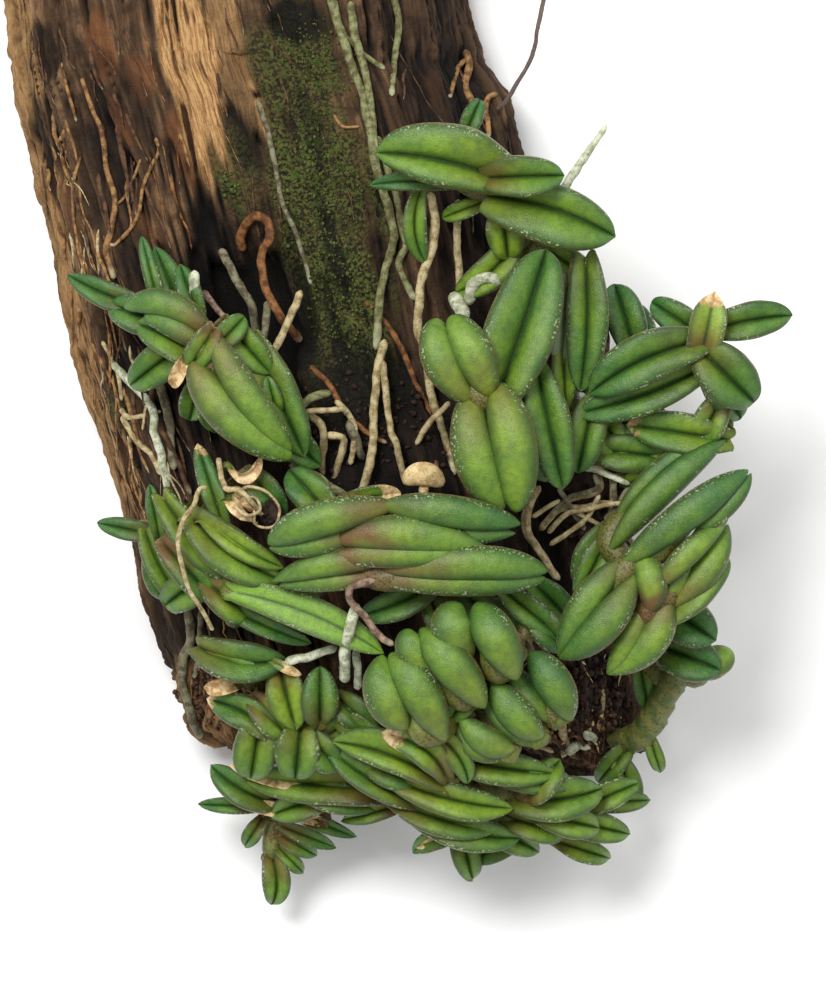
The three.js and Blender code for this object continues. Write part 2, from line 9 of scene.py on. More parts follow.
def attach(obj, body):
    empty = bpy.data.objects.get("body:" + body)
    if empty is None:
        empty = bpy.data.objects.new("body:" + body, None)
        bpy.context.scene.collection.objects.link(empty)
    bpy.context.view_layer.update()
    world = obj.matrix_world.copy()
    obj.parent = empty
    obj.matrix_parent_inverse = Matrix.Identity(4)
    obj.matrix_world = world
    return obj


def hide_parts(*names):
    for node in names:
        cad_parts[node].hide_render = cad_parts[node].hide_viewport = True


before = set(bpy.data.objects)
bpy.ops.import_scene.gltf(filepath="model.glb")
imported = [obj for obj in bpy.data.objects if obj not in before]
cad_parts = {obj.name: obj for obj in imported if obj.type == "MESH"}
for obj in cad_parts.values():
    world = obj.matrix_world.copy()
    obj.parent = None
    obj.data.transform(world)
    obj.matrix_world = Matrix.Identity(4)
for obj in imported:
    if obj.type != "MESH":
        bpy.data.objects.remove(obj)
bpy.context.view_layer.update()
mm = 0.001  # every size and place below is in millimetres, in the model's own frame

camera = {
    "centre": (22.6, -40.0),  # the point in the middle of the picture
    "height": 2500.0,
    "sharpAt": 45.0,  # height at which the picture is pictureTall high
    "pictureTall": 200.0,
    "sensor": 36.0,
}


def makeCamera():
    data = bpy.data.cameras.new("camera")
    data.sensor_fit = "VERTICAL"
    data.sensor_height = camera["sensor"]
    data.lens = camera["sensor"] * (camera["height"] - camera["sharpAt"]) / camera["pictureTall"]
    data.clip_start, data.clip_end = 0.1, 20
    made = bpy.data.objects.new("camera", data)
    made.location = Vector((*camera["centre"], camera["height"])) * mm
    bpy.context.collection.objects.link(made)
    bpy.context.scene.camera = made


makeCamera()

# Small tools: noise, curves, meshes


def noiseField(x, y, seed):
    table = np.random.RandomState(seed).rand(256, 256)
    column, row = np.floor(x).astype(int), np.floor(y).astype(int)
    fx, fy = x - column, y - row
    fx, fy = fx * fx * (3 - 2 * fx), fy * fy * (3 - 2 * fy)
    near, far = (table[r % 256, column % 256] * (1 - fx) + table[r % 256, (column + 1) % 256] * fx
                 for r in (row, row + 1))
    return 2 * (near * (1 - fy) + far * fy) - 1


def layered(x, y, seed, octaves=4, gain=0.5):
    total, size = 0, 1.0
    for octave in range(octaves):
        total = total + size * noiseField(x * 2 ** octave, y * 2 ** octave, seed + octave)
        size *= gain
    return total


def ease(value, low, high):  # 0 below low, 1 above high, smooth between
    share = np.clip((value - low) / (high - low), 0, 1)
    return share * share * (3 - 2 * share)


def smoothRoute(points, step):  # evenly spaced places on a smooth curve through the points
    p = np.array(points, float)
    p = np.vstack([2 * p[0] - p[1], p, 2 * p[-1] - p[-2]])
    fine = []
    for i in range(1, len(p) - 2):
        for t in np.linspace(0, 1, 12, endpoint=False):
            fine.append(0.5 * (2 * p[i] + (p[i + 1] - p[i - 1]) * t
                               + (2 * p[i - 1] - 5 * p[i] + 4 * p[i + 1] - p[i + 2]) * t ** 2
                               + (3 * p[i] - p[i - 1] - 3 * p[i + 1] + p[i + 2]) * t ** 3))
    fine = np.array(fine + [p[-2]])
    gone = np.concatenate([[0], np.cumsum(np.linalg.norm(np.diff(fine, axis=0), axis=1))])
    count = max(6, int(round(gone[-1] / step)) + 1)
    even = np.linspace(0, gone[-1], count)
    return np.stack([np.interp(even, gone, fine[:, axis]) for axis in range(3)], 1), even


def unit(vectors):
    return vectors / np.maximum(np.linalg.norm(vectors, axis=-1, keepdims=True), 1e-9)


def framesAlong(route):  # two directions across a route, carried along it without a twist
    tangent = unit(np.gradient(route, axis=0))
    side = np.cross(tangent[0], [0.3, 0.2, 1.0])
    sides = []
    for t in tangent:
        side = side - t * np.dot(side, t)
        side = side / np.linalg.norm(side)
        sides.append(side)
    sides = np.array(sides)
    return sides, np.cross(sides, tangent)


def turns(count):  # angles once round, as a row
    return np.linspace(0, 2 * np.pi, count, endpoint=False)[None, :]


def tube(places, side, out, across, high):  # rings round a route; across and high are a place on each ring
    return places[:, None] + side[:, None] * across[..., None] + out[:, None] * high[..., None]


def meshFrom(name, places, faces, values, weld=0.0):
    mesh = bpy.data.meshes.new(name)
    mesh.from_pydata((np.asarray(places) * mm).tolist(), [], faces)
    for key, numbers in values.items():
        layer = mesh.attributes.new(key, "FLOAT", "POINT")
        layer.data.foreach_set("value", np.asarray(numbers, np.float32).ravel())
    form = bmesh.new()
    form.from_mesh(mesh)
    if weld:
        bmesh.ops.remove_doubles(form, verts=form.verts, dist=weld * mm)
    bmesh.ops.recalc_face_normals(form, faces=form.faces)
    form.to_mesh(mesh)
    form.free()
    mesh.polygons.foreach_set("use_smooth", [True] * len(mesh.polygons))
    made = bpy.data.objects.new(name, mesh)
    bpy.context.collection.objects.link(made)
    return made


def ringFaces(rows, count, first=0):  # quads between rings of count points, and a fan at each end
    faces = []
    for row in range(rows - 1):
        a, b = first + row * count, first + (row + 1) * count
        faces += [(a + i, a + (i + 1) % count, b + (i + 1) % count, b + i) for i in range(count)]
    last = first + (rows - 1) * count
    low, high = first + rows * count, first + rows * count + 1
    faces += [(low, first + (i + 1) % count, first + i) for i in range(count)]
    faces += [(high, last + i, last + (i + 1) % count) for i in range(count)]
    return faces


def ringPiece(name, shells, weld=0.0):  # shells: closed skins over rings, as (rings, values by name)
    places, faces, values = [], [], {key: [] for key in shells[0][1]}
    for rings, shellValues in shells:
        rows, count = rings.shape[:2]
        faces += ringFaces(rows, count, len(places))
        places += rings.reshape(-1, 3).tolist() + [rings[0].mean(0).tolist(), rings[-1].mean(0).tolist()]
        for key, numbers in shellValues.items():
            full = np.broadcast_to(numbers, (rows, count))
            values[key] += full.ravel().tolist() + [full[0].mean(), full[-1].mean()]
    return meshFrom(name, places, faces, values, weld)


def settle(piece, material, node=None):
    piece.data.materials.append(material)
    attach(piece, "root")
    if node:
        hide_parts(node)
    return piece


# Materials


def tone(red, green, blue):  # a colour as a screen shows it, 0 to 255
    shares = [part / 255 for part in (red, green, blue)]
    return tuple(s / 12.92 if s <= 0.04045 else ((s + 0.055) / 1.055) ** 2.4 for s in shares) + (1.0,)


class Finish:  # a material with a principled shader, and short calls that add its nodes
    def __init__(self, name):
        self.material = bpy.data.materials.new(name)
        self.material.use_nodes = True
        self.tree = self.material.node_tree
        self.tree.nodes.clear()
        self.shader = self.tree.nodes.new("ShaderNodeBsdfPrincipled")
        output = self.tree.nodes.new("ShaderNodeOutputMaterial")
        self.tree.links.new(self.shader.outputs[0], output.inputs["Surface"])

    def node(self, kind, inputs, output=0, **settings):
        made = self.tree.nodes.new("ShaderNode" + kind)
        for key, value in settings.items():
            setattr(made, key, value)
        for key, value in inputs.items():
            if isinstance(value, bpy.types.NodeSocket):
                self.tree.links.new(value, made.inputs[key])
            else:
                made.inputs[key].default_value = value
        return made.outputs[output]

    def value(self, name):
        return self.node("Attribute", {}, "Fac", attribute_name=name)

    def math(self, operation, a, b):
        return self.node("Math", {0: a, 1: b}, operation=operation)

    def between(self, value, low, high, start=0.0, end=1.0):
        inputs = {"Value": value, "From Min": low, "From Max": high, "To Min": start, "To Max": end}
        return self.node("MapRange", inputs, interpolation_type="SMOOTHSTEP")

    def places(self):
        return self.node("TexCoord", {}, "Object")

    def stretched(self, across, along):  # a place that runs with the wood's fibres
        return self.node("CombineXYZ", {0: across, 1: along})

    def noise(self, size, detail=3.0, place=None, roughness=0.55):  # size of the grains in millimetres
        place = place or self.places()
        inputs = {"Vector": place, "Scale": 1 / (size * mm), "Detail": detail, "Roughness": roughness}
        return self.node("TexNoise", inputs)

    def mix(self, share, a, b):
        made = self.tree.nodes.new("ShaderNodeMix")
        made.data_type = "RGBA"
        for index, value in ((0, share), (6, a), (7, b)):
            if isinstance(value, bpy.types.NodeSocket):
                self.tree.links.new(value, made.inputs[index])
            else:
                made.inputs[index].default_value = value
        return made.outputs[2]

    def bump(self, height, strength, distance, under=None):
        inputs = {"Height": height, "Strength": strength, "Distance": distance * mm}
        if under:
            inputs["Normal"] = under
        return self.node("Bump", inputs)

    def set(self, **inputs):
        names = {"colour": "Base Color", "roughness": "Roughness", "normal": "Normal",
                 "specular": "Specular IOR Level"}
        for key, value in inputs.items():
            socket = self.shader.inputs[names[key]]
            if isinstance(value, bpy.types.NodeSocket):
                self.tree.links.new(value, socket)
            else:
                socket.default_value = value


leafLook = {
    "mature": tone(58, 102, 36),
    "young": tone(128, 156, 40),
    "tipGreen": tone(50, 98, 50),
    "paintedShadeGreen": tone(30, 64, 30),
    "lime": tone(112, 156, 44),
    "mottleAndCreaseShade": tone(24, 36, 14),
    "margin": tone(150, 132, 88),
    "paintedGlint": tone(206, 216, 176),
    "bronze": tone(104, 78, 42),
    "underside": tone(128, 146, 112),
    "dry": tone(220, 196, 148),
    "dryDark": tone(170, 132, 84),
    "sheath": tone(104, 102, 46),
    "speckle": tone(52, 44, 22),
}


def makeLeafFinish():
    look = leafLook
    f = Finish("leafFlesh")
    along, across, youth = f.value("along"), f.value("across"), f.value("youth")
    patches, blotches, grains = f.noise(5.0, 2.0), f.noise(1.3, 3.0), f.noise(0.3, 3.0)
    fresh = f.math("ADD", youth, f.between(patches, 0.3, 0.7, -0.2, 0.2))
    colour = f.mix(fresh, look["mature"], look["young"])
    toTip = f.math("MULTIPLY", f.between(along, 0.3, 1.0), f.math("SUBTRACT", 1.0, youth))
    colour = f.mix(f.math("MULTIPLY", toTip, 0.8), colour, look["tipGreen"])
    colour = f.mix(f.value("lime"), colour, look["lime"])
    # dark mottling in blotches, the leaf's own colour
    colour = f.mix(f.between(blotches, 0.4, 0.66, 0.0, 0.24), colour, look["mottleAndCreaseShade"])
    colour = f.mix(f.between(grains, 0.52, 0.68, 0.0, 0.35), colour, look["young"])
    faded = f.math("ADD", along, f.between(patches, 0.3, 0.7, -0.1, 0.1))
    colour = f.mix(f.math("MULTIPLY", f.value("bronze"), f.between(faded, 0.0, 0.62, 1.0, 0.0)), colour,
                   look["bronze"])
    rim = f.math("ADD", across, f.between(grains, 0.3, 0.7, -0.03, 0.03))
    # painted shade: the halves darken towards the margin and towards the crease, where the fleshy lobes curve
    # away from the light
    colour = f.mix(f.between(rim, 0.55, 0.96, 0.0, 0.75), colour, look["paintedShadeGreen"])
    colour = f.mix(f.between(across, 0.0, 0.24, 0.65, 0.0), colour, look["paintedShadeGreen"])
    colour = f.mix(f.between(rim, 0.86, 0.98, 0.0, 0.3), colour, look["bronze"])
    # painted shade: a thin dark line along the crease between the two halves
    colour = f.mix(f.between(across, 0.0, 0.04, 0.7, 0.0), colour, look["mottleAndCreaseShade"])
    # painted highlight: pale speckled glints in a band near the rim stand in for light reflected off the
    # papillae
    paintedGlints = f.math("MULTIPLY", f.between(f.noise(0.5, 1.0), 0.57, 0.64, 0.0, 0.5), f.between(rim, 0.74, 0.88))
    paintedGlints = f.math("MULTIPLY", paintedGlints, f.between(f.noise(7.0, 2.0), 0.44, 0.6))
    colour = f.mix(f.math("MULTIPLY", paintedGlints, f.between(rim, 0.99, 0.95)), colour, look["paintedGlint"])
    colour = f.mix(f.between(rim, 0.97, 1.0, 0.0, 0.8), colour, look["margin"])
    colour = f.mix(f.math("MULTIPLY", f.value("under"), 0.85), colour, look["underside"])
    speckles = f.between(f.noise(0.5, 2.0), 0.5, 0.6)
    sheath = f.mix(f.math("MULTIPLY", f.value("bronze"), 0.8), look["sheath"], look["bronze"])
    sheath = f.mix(speckles, sheath, look["speckle"])
    colour = f.mix(f.between(along, 0.0, -0.25, 0.0, 0.8), colour, sheath)
    dryPlace = f.math("ADD", along, f.between(blotches, 0.3, 0.7, -0.08, 0.08))
    dryShare = f.between(f.math("SUBTRACT", dryPlace, f.value("dryFrom")), 0.0, 0.07)
    colour = f.mix(dryShare, colour, f.mix(f.between(blotches, 0.4, 0.62), look["dry"], look["dryDark"]))
    relief = f.bump(grains, 0.65, 0.22)
    relief = f.bump(blotches, 0.35, 0.3, relief)
    f.set(colour=colour, roughness=f.between(grains, 0.3, 0.7, 0.24, 0.46), normal=relief, specular=0.42)
    return f.material


def makeStemFinish():
    f = Finish("speckledSheath")
    ringed, patches = f.value("ringed"), f.noise(2.4, 3.0)
    colour = f.mix(f.between(patches, 0.35, 0.65), tone(70, 88, 32), tone(112, 114, 50))
    colour = f.mix(f.between(f.noise(0.45, 2.0), 0.55, 0.64, 0.0, 0.8), colour, tone(50, 40, 20))
    colour = f.mix(f.between(ringed, 0.75, 1.0, 0.0, 0.6), colour, tone(128, 104, 62))
    colour = f.mix(f.between(ringed, 0.12, 0.0), colour, tone(52, 46, 24))
    relief = f.bump(f.noise(0.5, 3.0), 0.5, 0.15)
    f.set(colour=colour, roughness=f.between(patches, 0.3, 0.7, 0.42, 0.65), normal=relief)
    return f.material


rootTones = {
    "cream": (tone(192, 176, 134), tone(138, 120, 82)),
    "green": (tone(134, 136, 94), tone(84, 80, 46)),
    "grey": (tone(128, 124, 98), tone(78, 70, 52)),
    "orange": (tone(142, 96, 54), tone(84, 50, 26)),
    "tan": (tone(156, 118, 72), tone(92, 62, 36)),
    "white": (tone(204, 208, 182), tone(146, 150, 118)),
    "mauve": (tone(160, 134, 114), tone(98, 78, 64)),
    "brown": (tone(96, 68, 46), tone(52, 34, 22)),
    "ivory": (tone(226, 202, 150), tone(190, 156, 104)),
    # near-black crumbs that stand as painted shade in shadowed recesses
    "shadeFill": (tone(58, 38, 28), tone(24, 16, 13)),
    "mossGreen": (tone(84, 96, 40), tone(44, 44, 22)),
}


def makeRootFinish(name):
    light, dark = rootTones[name]
    f = Finish(name + "Velamen")
    gone, patches = f.value("gone"), f.noise(1.6, 4.0)
    colour = f.mix(f.between(patches, 0.36, 0.64), light, dark)
    colour = f.mix(f.between(f.noise(0.4, 2.0), 0.56, 0.7, 0.0, 0.5), colour, tone(70, 52, 34))
    colour = f.mix(f.between(gone, 0.9, 1.0, 0.0, 0.35), colour, tone(214, 214, 180))
    relief = f.bump(f.noise(0.35, 3.0), 0.6, 0.12)
    f.set(colour=colour, roughness=0.78, normal=relief, specular=0.3)
    return f.material


# Weathered wood

wood = {
    "sections": [  # y, left edge, right edge, height of the crest
        (92, -61, 26, 34), (89, -62, 27.5, 38), (60, -58, 32.4, 40), (48, -57.4, 35.6, 40), (41, -57, 41, 40),
        (28, -54, 45, 40), (8, -49, 49, 40), (-12, -45, 53, 40), (-34, -38.6, 58, 40), (-49, -34, 61.4, 39),
        (-60, -31, 63.6, 38), (-74, -26, 66.8, 34), (-80, -24.4, 68, 30), (-86, -22.5, 70, 25),
        (-90, -14, 69, 20), (-93.5, 6, 64, 15), (-96, 40, 60, 11),
    ],
    "sideHeight": 8, "roundness": 2.6, "backInset": 0.06,
    "hollow": {"x": -11, "y": -4, "halfWidth": 13, "halfLength": 19, "depth": 9},
    "groove": [(-12, 50), (-7, 34), (-4, 20), (2, 0), (6, -12)],
    "grooveDepth": 1.6, "grooveHalfWidth": 3,
    "rows": 384, "columns": 252,
    # bare sapwood: the middle of each bare part as x at some y, and its half width
    "streak": {"y": [24, 60, 92], "x": [-18.6, -24, -31]},
    "streakWidth": {"y": [27, 60, 92], "halfWidth": [5.4, 4.8, 6.5]},
    "band": {"y": [38, 60, 92], "x": [-12, -15.6, -24], "halfWidth": 4.6},
    # the strip's brightness is partly painted highlight along the edge of a bark ledge
    "strip": {"y": [32, 54, 92], "x": [-6.6, -12, -20], "halfWidth": 0.9},
    # height of each kind of unevenness, down or up
    "ridge": 1.1, "ledge": 0.75, "crack": 2.6, "split": 1.3,
    "mossy": 0.9, "proud": 0.9, "sunk": 2.2, "pit": 3.5,
    "cutInset": 0.012,  # how far the cut ends' skins lie inside their rims
    "seed": 7,
}


def woodHeight(x, y):
    rows = np.array(wood["sections"], float)[::-1].T
    left, right, crest = (np.interp(y, rows[0], rows[i]) for i in (1, 2, 3))
    half = (right - left) / 2
    across = np.minimum(1, np.abs(x - left - half) / half)
    bow = (1 - across ** wood["roundness"]) ** (1 / wood["roundness"])
    h = wood["hollow"]
    sunk = h["depth"] * np.exp(-((x - h["x"]) / h["halfWidth"]) ** 2 - ((y - h["y"]) / h["halfLength"]) ** 2)
    line = np.array(wood["groove"], float)[::-1].T
    off = (x - np.interp(y, line[1], line[0])) / wood["grooveHalfWidth"]
    inside = (y < wood["groove"][0][1]) & (y > wood["groove"][-1][1])
    sunk = sunk + wood["grooveDepth"] * np.exp(-off ** 2) * inside
    return wood["sideHeight"] + (crest - wood["sideHeight"] - sunk) * bow


woodMarks = {  # patches on the bark, as x, y, half width, half length, strength
    "orange": [(-39, 51, 2.4, 6, 1), (-32, 45, 2.6, 5, 1), (-35.5, 35, 2.4, 6, 0.9), (-22, 30, 4, 7, 0.9),
               (-21, -2, 3, 6, 0.6), (26, 43, 3, 4, 0.4), (-46, 20, 3, 8, 0.5), (-13, 50, 2, 9, 0.5),
               (-30, 14, 3, 8, 0.5), (-44, -6, 3, 8, 0.5)],
    "moss": [(0, 44, 9, 14, 0.8), (4, 24, 11, 16, 1), (7, 4, 11, 16, 1), (9, -14, 10, 12, 0.8),
             (-13, 26, 6, 9, 0.6), (-14, 23, 2, 2, 1), (-36, -24, 4, 5, 0.5)],
    # dark: near-black patches, mostly painted shade in the hollow, in the recesses, along the bark plates'
    # edges and under the roots below the middle, partly dark bark
    "dark": [(-1, 55.5, 5.6, 4, 1), (6.6, 11, 2.2, 12, 0.9), (2.6, 33, 1.4, 10, 0.6), (-10, -6, 15, 17, 1),
             (14, -28, 20, 17, 1), (-34, 40, 5, 8, 0.5), (-26, 2, 8, 12, 0.6), (48, -44, 16, 16, 0.9),
             (46, -20, 12, 16, 0.7), (40, 18, 8, 10, 0.7), (-12, 38, 3, 14, 0.6), (-24, -70, 6, 10, 0.4),
             (-51, 50, 2.6, 8, 0.7), (-42, 26, 3, 12, 0.5), (30, 40, 6, 16, 0.5), (-36, -4, 5, 12, 0.5)],
}


def woodMark(kind, x, y, ragged):
    total = np.zeros_like(x)
    for cx, cy, halfWidth, halfLength, strength in woodMarks[kind]:
        lean = (cy - y) * 0.27  # the patches lean with the fibres
        reach = np.sqrt(((x - cx - lean) / halfWidth) ** 2 + ((y - cy) / halfLength) ** 2) + 0.4 * ragged
        total = np.maximum(total, strength * ease(-reach, -1.25, -0.7))
    return total


def lines(field, width):  # 1 where a noise passes zero, which draws long thin lines, and 0 beside them
    return np.exp(-(field / width) ** 2)


def makeWoodFinish():
    f = Finish("weatheredWood")
    across = f.math("MULTIPLY", f.value("around"), mm)
    fibres = f.stretched(across, f.math("MULTIPLY", f.value("down"), mm * 0.09))
    streaks, fine = f.noise(1.3, 4.0, fibres), f.noise(0.45, 3.0, fibres, 0.7)
    crumbs, clouds = f.noise(0.7, 4.0), f.noise(5.0, 3.0)
    # colour by height: low places are darkened as painted shade, high ridges are lighter as weathered wood
    rise = f.math("ADD", f.value("rise"), f.between(streaks, 0.3, 0.7, -0.22, 0.22))
    colour = f.mix(f.between(rise, 0.14, 0.7), tone(22, 16, 12), tone(76, 56, 39))
    colour = f.mix(f.between(rise, 0.66, 1.0), colour, tone(120, 92, 64))
    colour = f.mix(f.between(clouds, 0.46, 0.66, 0.0, 0.7), colour, tone(40, 29, 21))
    colour = f.mix(f.math("MULTIPLY", f.value("orange"), f.between(rise, 0.1, 0.5, 0.1, 0.6)), colour,
                   tone(118, 74, 42))
    tan = f.mix(f.between(fine, 0.35, 0.62), tone(140, 102, 62), tone(192, 152, 102))
    tan = f.mix(f.between(rise, 0.34, 0.12), tan, tone(62, 38, 22))
    tan = f.mix(f.between(streaks, 0.44, 0.34, 0.0, 0.7), tan, tone(96, 62, 34))
    colour = f.mix(f.value("tan"), colour, tan)
    green = f.mix(f.between(crumbs, 0.42, 0.6), tone(27, 26, 15), tone(84, 86, 40))
    green = f.mix(f.between(f.noise(2.2, 3.0), 0.54, 0.66, 0.0, 0.7), green, tone(62, 84, 28))
    mossy = f.math("MULTIPLY", f.value("moss"), f.between(clouds, 0.25, 0.6, 0.85, 1.0))
    colour = f.mix(mossy, colour, green)
    # the dark patches: painted shade, partly dark bark
    colour = f.mix(f.math("MULTIPLY", f.value("dark"), 0.8), colour, tone(17, 14, 13))
    # painted shade: the cracks, splits, pits and dark patches are darkened almost to black
    colour = f.mix(f.value("depth"), colour, tone(10, 8, 6))
    fromPith = f.node("VectorMath", {0: f.places(), 1: (-0.02, 0.092, -0.012)}, "Value", operation="DISTANCE")
    ringPlace = f.math("ADD", fromPith, f.between(clouds, 0, 1, 0, 0.002))
    grown = f.noise(1.1, 3.0, f.node("CombineXYZ", {0: ringPlace}))
    endGrain = f.mix(f.between(grown, 0.4, 0.6), tone(112, 84, 54), tone(66, 46, 30))
    endGrain = f.mix(f.between(clouds, 0.45, 0.7, 0.0, 0.7), endGrain, tone(48, 36, 28))
    colour = f.mix(f.value("cut"), colour, endGrain)
    relief = f.bump(f.math("MULTIPLY", fine, f.math("SUBTRACT", 1.0, f.value("cut"))), 0.8, 0.5)
    relief = f.bump(crumbs, 0.8, 0.5, relief)
    f.set(colour=colour, roughness=0.88, normal=relief, specular=0.2)
    return f.material


def makeWood():
    rows, columns, seed = wood["rows"], wood["columns"], wood["seed"]
    sections = np.array(wood["sections"], float)[::-1].T
    y = np.linspace(wood["sections"][0][0], wood["sections"][-1][0], rows)[:, None]
    left, right = (np.interp(y, sections[0], sections[i]) for i in (1, 2))
    half, middle = (right - left) / 2, (right + left) / 2
    angle = np.linspace(0, np.pi, columns)[None, :]
    share = np.sign(np.cos(angle)) * np.abs(np.cos(angle)) ** (2 / wood["roundness"])
    x = middle + half * share
    yy = np.broadcast_to(y, x.shape)
    z = woodHeight(np.clip(x, left + 1e-6, right - 1e-6), yy)
    places = np.stack([x, yy, z], -1)
    steps = np.linalg.norm(np.diff(places, axis=1), axis=2)
    around = np.concatenate([np.zeros((rows, 1)), np.cumsum(steps, axis=1)], 1)
    around = around - around[:, columns // 2][:, None]
    down = -yy
    ragged = layered(around / 3, down / 16, seed, 3)
    ridge = layered(around / 4.6, down / 42, seed + 10, 4)
    level = 2.4 * layered(around / 8, down / 30, seed + 20, 3, 0.4)
    ledge = np.floor(level) + ease(level - np.floor(level), 0.3, 0.6)  # flakes of bark, one above the other
    crack = lines(layered(around / 5, down / 60, seed + 30, 2), 0.05)
    crack = crack * ease(noiseField(around / 7, down / 22, seed + 40), -0.35, 0.1)
    split = lines(layered(around / 1.9, down / 34, seed + 50, 2), 0.1)
    split = split * ease(noiseField(around / 4, down / 14, seed + 60), -0.25, 0.3)
    crumb = layered(around / 1.3, down / 1.9, seed + 70, 3)
    # bare tan sapwood: a streak left of the middle, the left edge and a thin bright strip; on the left edge
    # the tan is partly painted highlight where light catches that side, and on the strip partly painted
    # highlight along the ledge's edge
    off = {}
    for bare in ("streak", "band", "strip"):
        off[bare] = np.abs(x - np.interp(yy, wood[bare]["y"], wood[bare]["x"]))
    width = np.interp(yy, wood["streakWidth"]["y"], wood["streakWidth"]["halfWidth"])
    streak = ease(width - off["streak"] + 1.8 * ragged, -0.2, 0.9) * ease(yy + 6 * ragged, 24, 29)
    band = ease(wood["band"]["halfWidth"] - off["band"] + 2 * ragged, 0, 1.4)
    band = 0.45 * band * ease(yy + 6 * ragged, 34, 42)
    # tan wood along the left edge, partly painted highlight on the side the light falls on
    leftEdge = ease(4.6 + 3.4 * ragged - (x - left), 0, 2.4) * ease(yy, -50, -36) * 0.6
    knob = ease(-np.hypot((x + 17) / 10, (yy + 81) / 12) + 0.3 * ragged, -1.1, -0.6) * 0.45
    # thin raised tan strip, partly painted highlight along the ledge's edge
    strip = ease(wood["strip"]["halfWidth"] - off["strip"] + 0.4 * ragged, 0, 0.5)
    strip = strip * ease(yy, 31, 34) * 0.9
    tan = np.clip(np.maximum.reduce([streak, band, leftEdge, strip, knob]), 0, 1)
    moss = woodMark("moss", x, yy, ragged) * (1 - tan)
    orange = woodMark("orange", x, yy, ragged)
    dark = woodMark("dark", x, yy, ragged) * (1 - 0.9 * tan)
    h = wood["hollow"]
    pit = ease(-np.hypot((x - h["x"]) / 14, (yy - h["y"]) / 17) - 0.3 * ragged, -1.05, -0.6)
    crumble = ease(-yy, 62, 84)
    smooth = 1 - 0.75 * np.maximum(moss, streak)
    lift = (wood["ridge"] * ridge + wood["ledge"] * ledge - wood["split"] * split) * smooth
    lift = lift - wood["crack"] * crack * (1 - 0.5 * moss) + wood["mossy"] * moss + wood["proud"] * strip
    lift = lift + (0.25 + 0.25 * moss + 0.7 * crumble) * crumb
    lift = lift + streak * (0.5 * layered(around / 1.1, down / 40, seed + 80, 3) - 0.4) - wood["pit"] * pit
    lift = lift - wood["sunk"] * dark * ease(noiseField(around / 4, down / 10, seed + 90), 0.0, 0.4)
    normal = unit(np.cross(np.gradient(places, axis=0), np.gradient(places, axis=1)))
    normal = normal * np.sign(normal[..., 2:3] + 1e-9)
    normal[:, 0], normal[:, -1] = [1, 0, 0], [-1, 0, 0]
    fade = ease(yy, -96, -94) * ease(-yy, -92, -90)
    places = places + normal * (np.clip(lift, -8, 3) * fade)[..., None]
    # height for the colour: the finish paints shade into the low places and lightens the weathered ridges
    rise = np.clip(0.45 + lift / 5 + 0.5 * pit, 0, 1)
    # painted shade in the cracks, splits, pits and dark patches, as a share of near-black
    depth = 0.85 * crack + 0.5 * split * smooth + 0.9 * pit * ease(ragged, -0.6, 0.5) + 0.4 * dark
    depth = np.clip(depth, 0, 0.95)
    back = half * (1 - wood["backInset"])
    low = [np.stack([middle + end * back, y, y * 0], -1) for end in (-1, 1)]
    low = np.stack(low, 1)[:, :, 0]
    rings = np.concatenate([places, low], 1)
    values = {"tan": tan, "moss": moss, "orange": orange, "dark": dark, "depth": depth, "rise": rise,
              "around": around, "down": down}
    values = {key: np.concatenate([a, a[:, -1:], a[:, :1]], 1) for key, a in values.items()}
    values["rise"][:, -2:] = 0.4
    values["around"][:, -2] += wood["sideHeight"]
    values["around"][:, -1] -= wood["sideHeight"]
    values["cut"] = np.zeros(rings.shape[:2])
    inside = [ring + (ring.mean(1, keepdims=True) - ring) * wood["cutInset"]
              for ring in (rings[:1], rings[-1:])]
    rings = np.concatenate([inside[0], rings, inside[1]])
    values = {key: np.concatenate([a[:1], a, a[-1:]]) for key, a in values.items()}
    values["cut"][[0, -1]] = 1
    piece = ringPiece("wood_bark", [(rings, values)])
    return settle(piece, makeWoodFinish(), "wood")


woodPiece = makeWood()
woodTree = BVHTree.FromPolygons([v.co[:] for v in woodPiece.data.vertices],
                                [p.vertices[:] for p in woodPiece.data.polygons])


def onWood(x, y):  # height of the finished wood under a place
    hit = woodTree.ray_cast(Vector((x, y, 90)) * mm, Vector((0, 0, -1)))
    return hit[0].z / mm if hit[0] else 0.0


print("wood done")

# Leaves and their creeping stems

leafForm = {
    "rows": 26,
    "across": [0, 0.03, 0.08, 0.16, 0.27, 0.41, 0.56, 0.7, 0.82, 0.91, 0.97, 1],
    "puff": 0.4,  # height of a half's crown as a share of its width
    "crownAt": 0.46,  # where the crown lies between the groove and the margin
    "keel": 0.8,
    "under": 0.8,
    "baseWidth": 0.5,
    "ears": 0.05,  # how far the two halves reach back past the groove, as a share of the length
    "widest": 0.45,  # where the leaf is widest, as a share of the length
    "fold": 15,  # degrees that each half rises; more at the base, which clasps the next leaf
    "sheathRows": 8,
    "sheathRadius": 2.1,
}


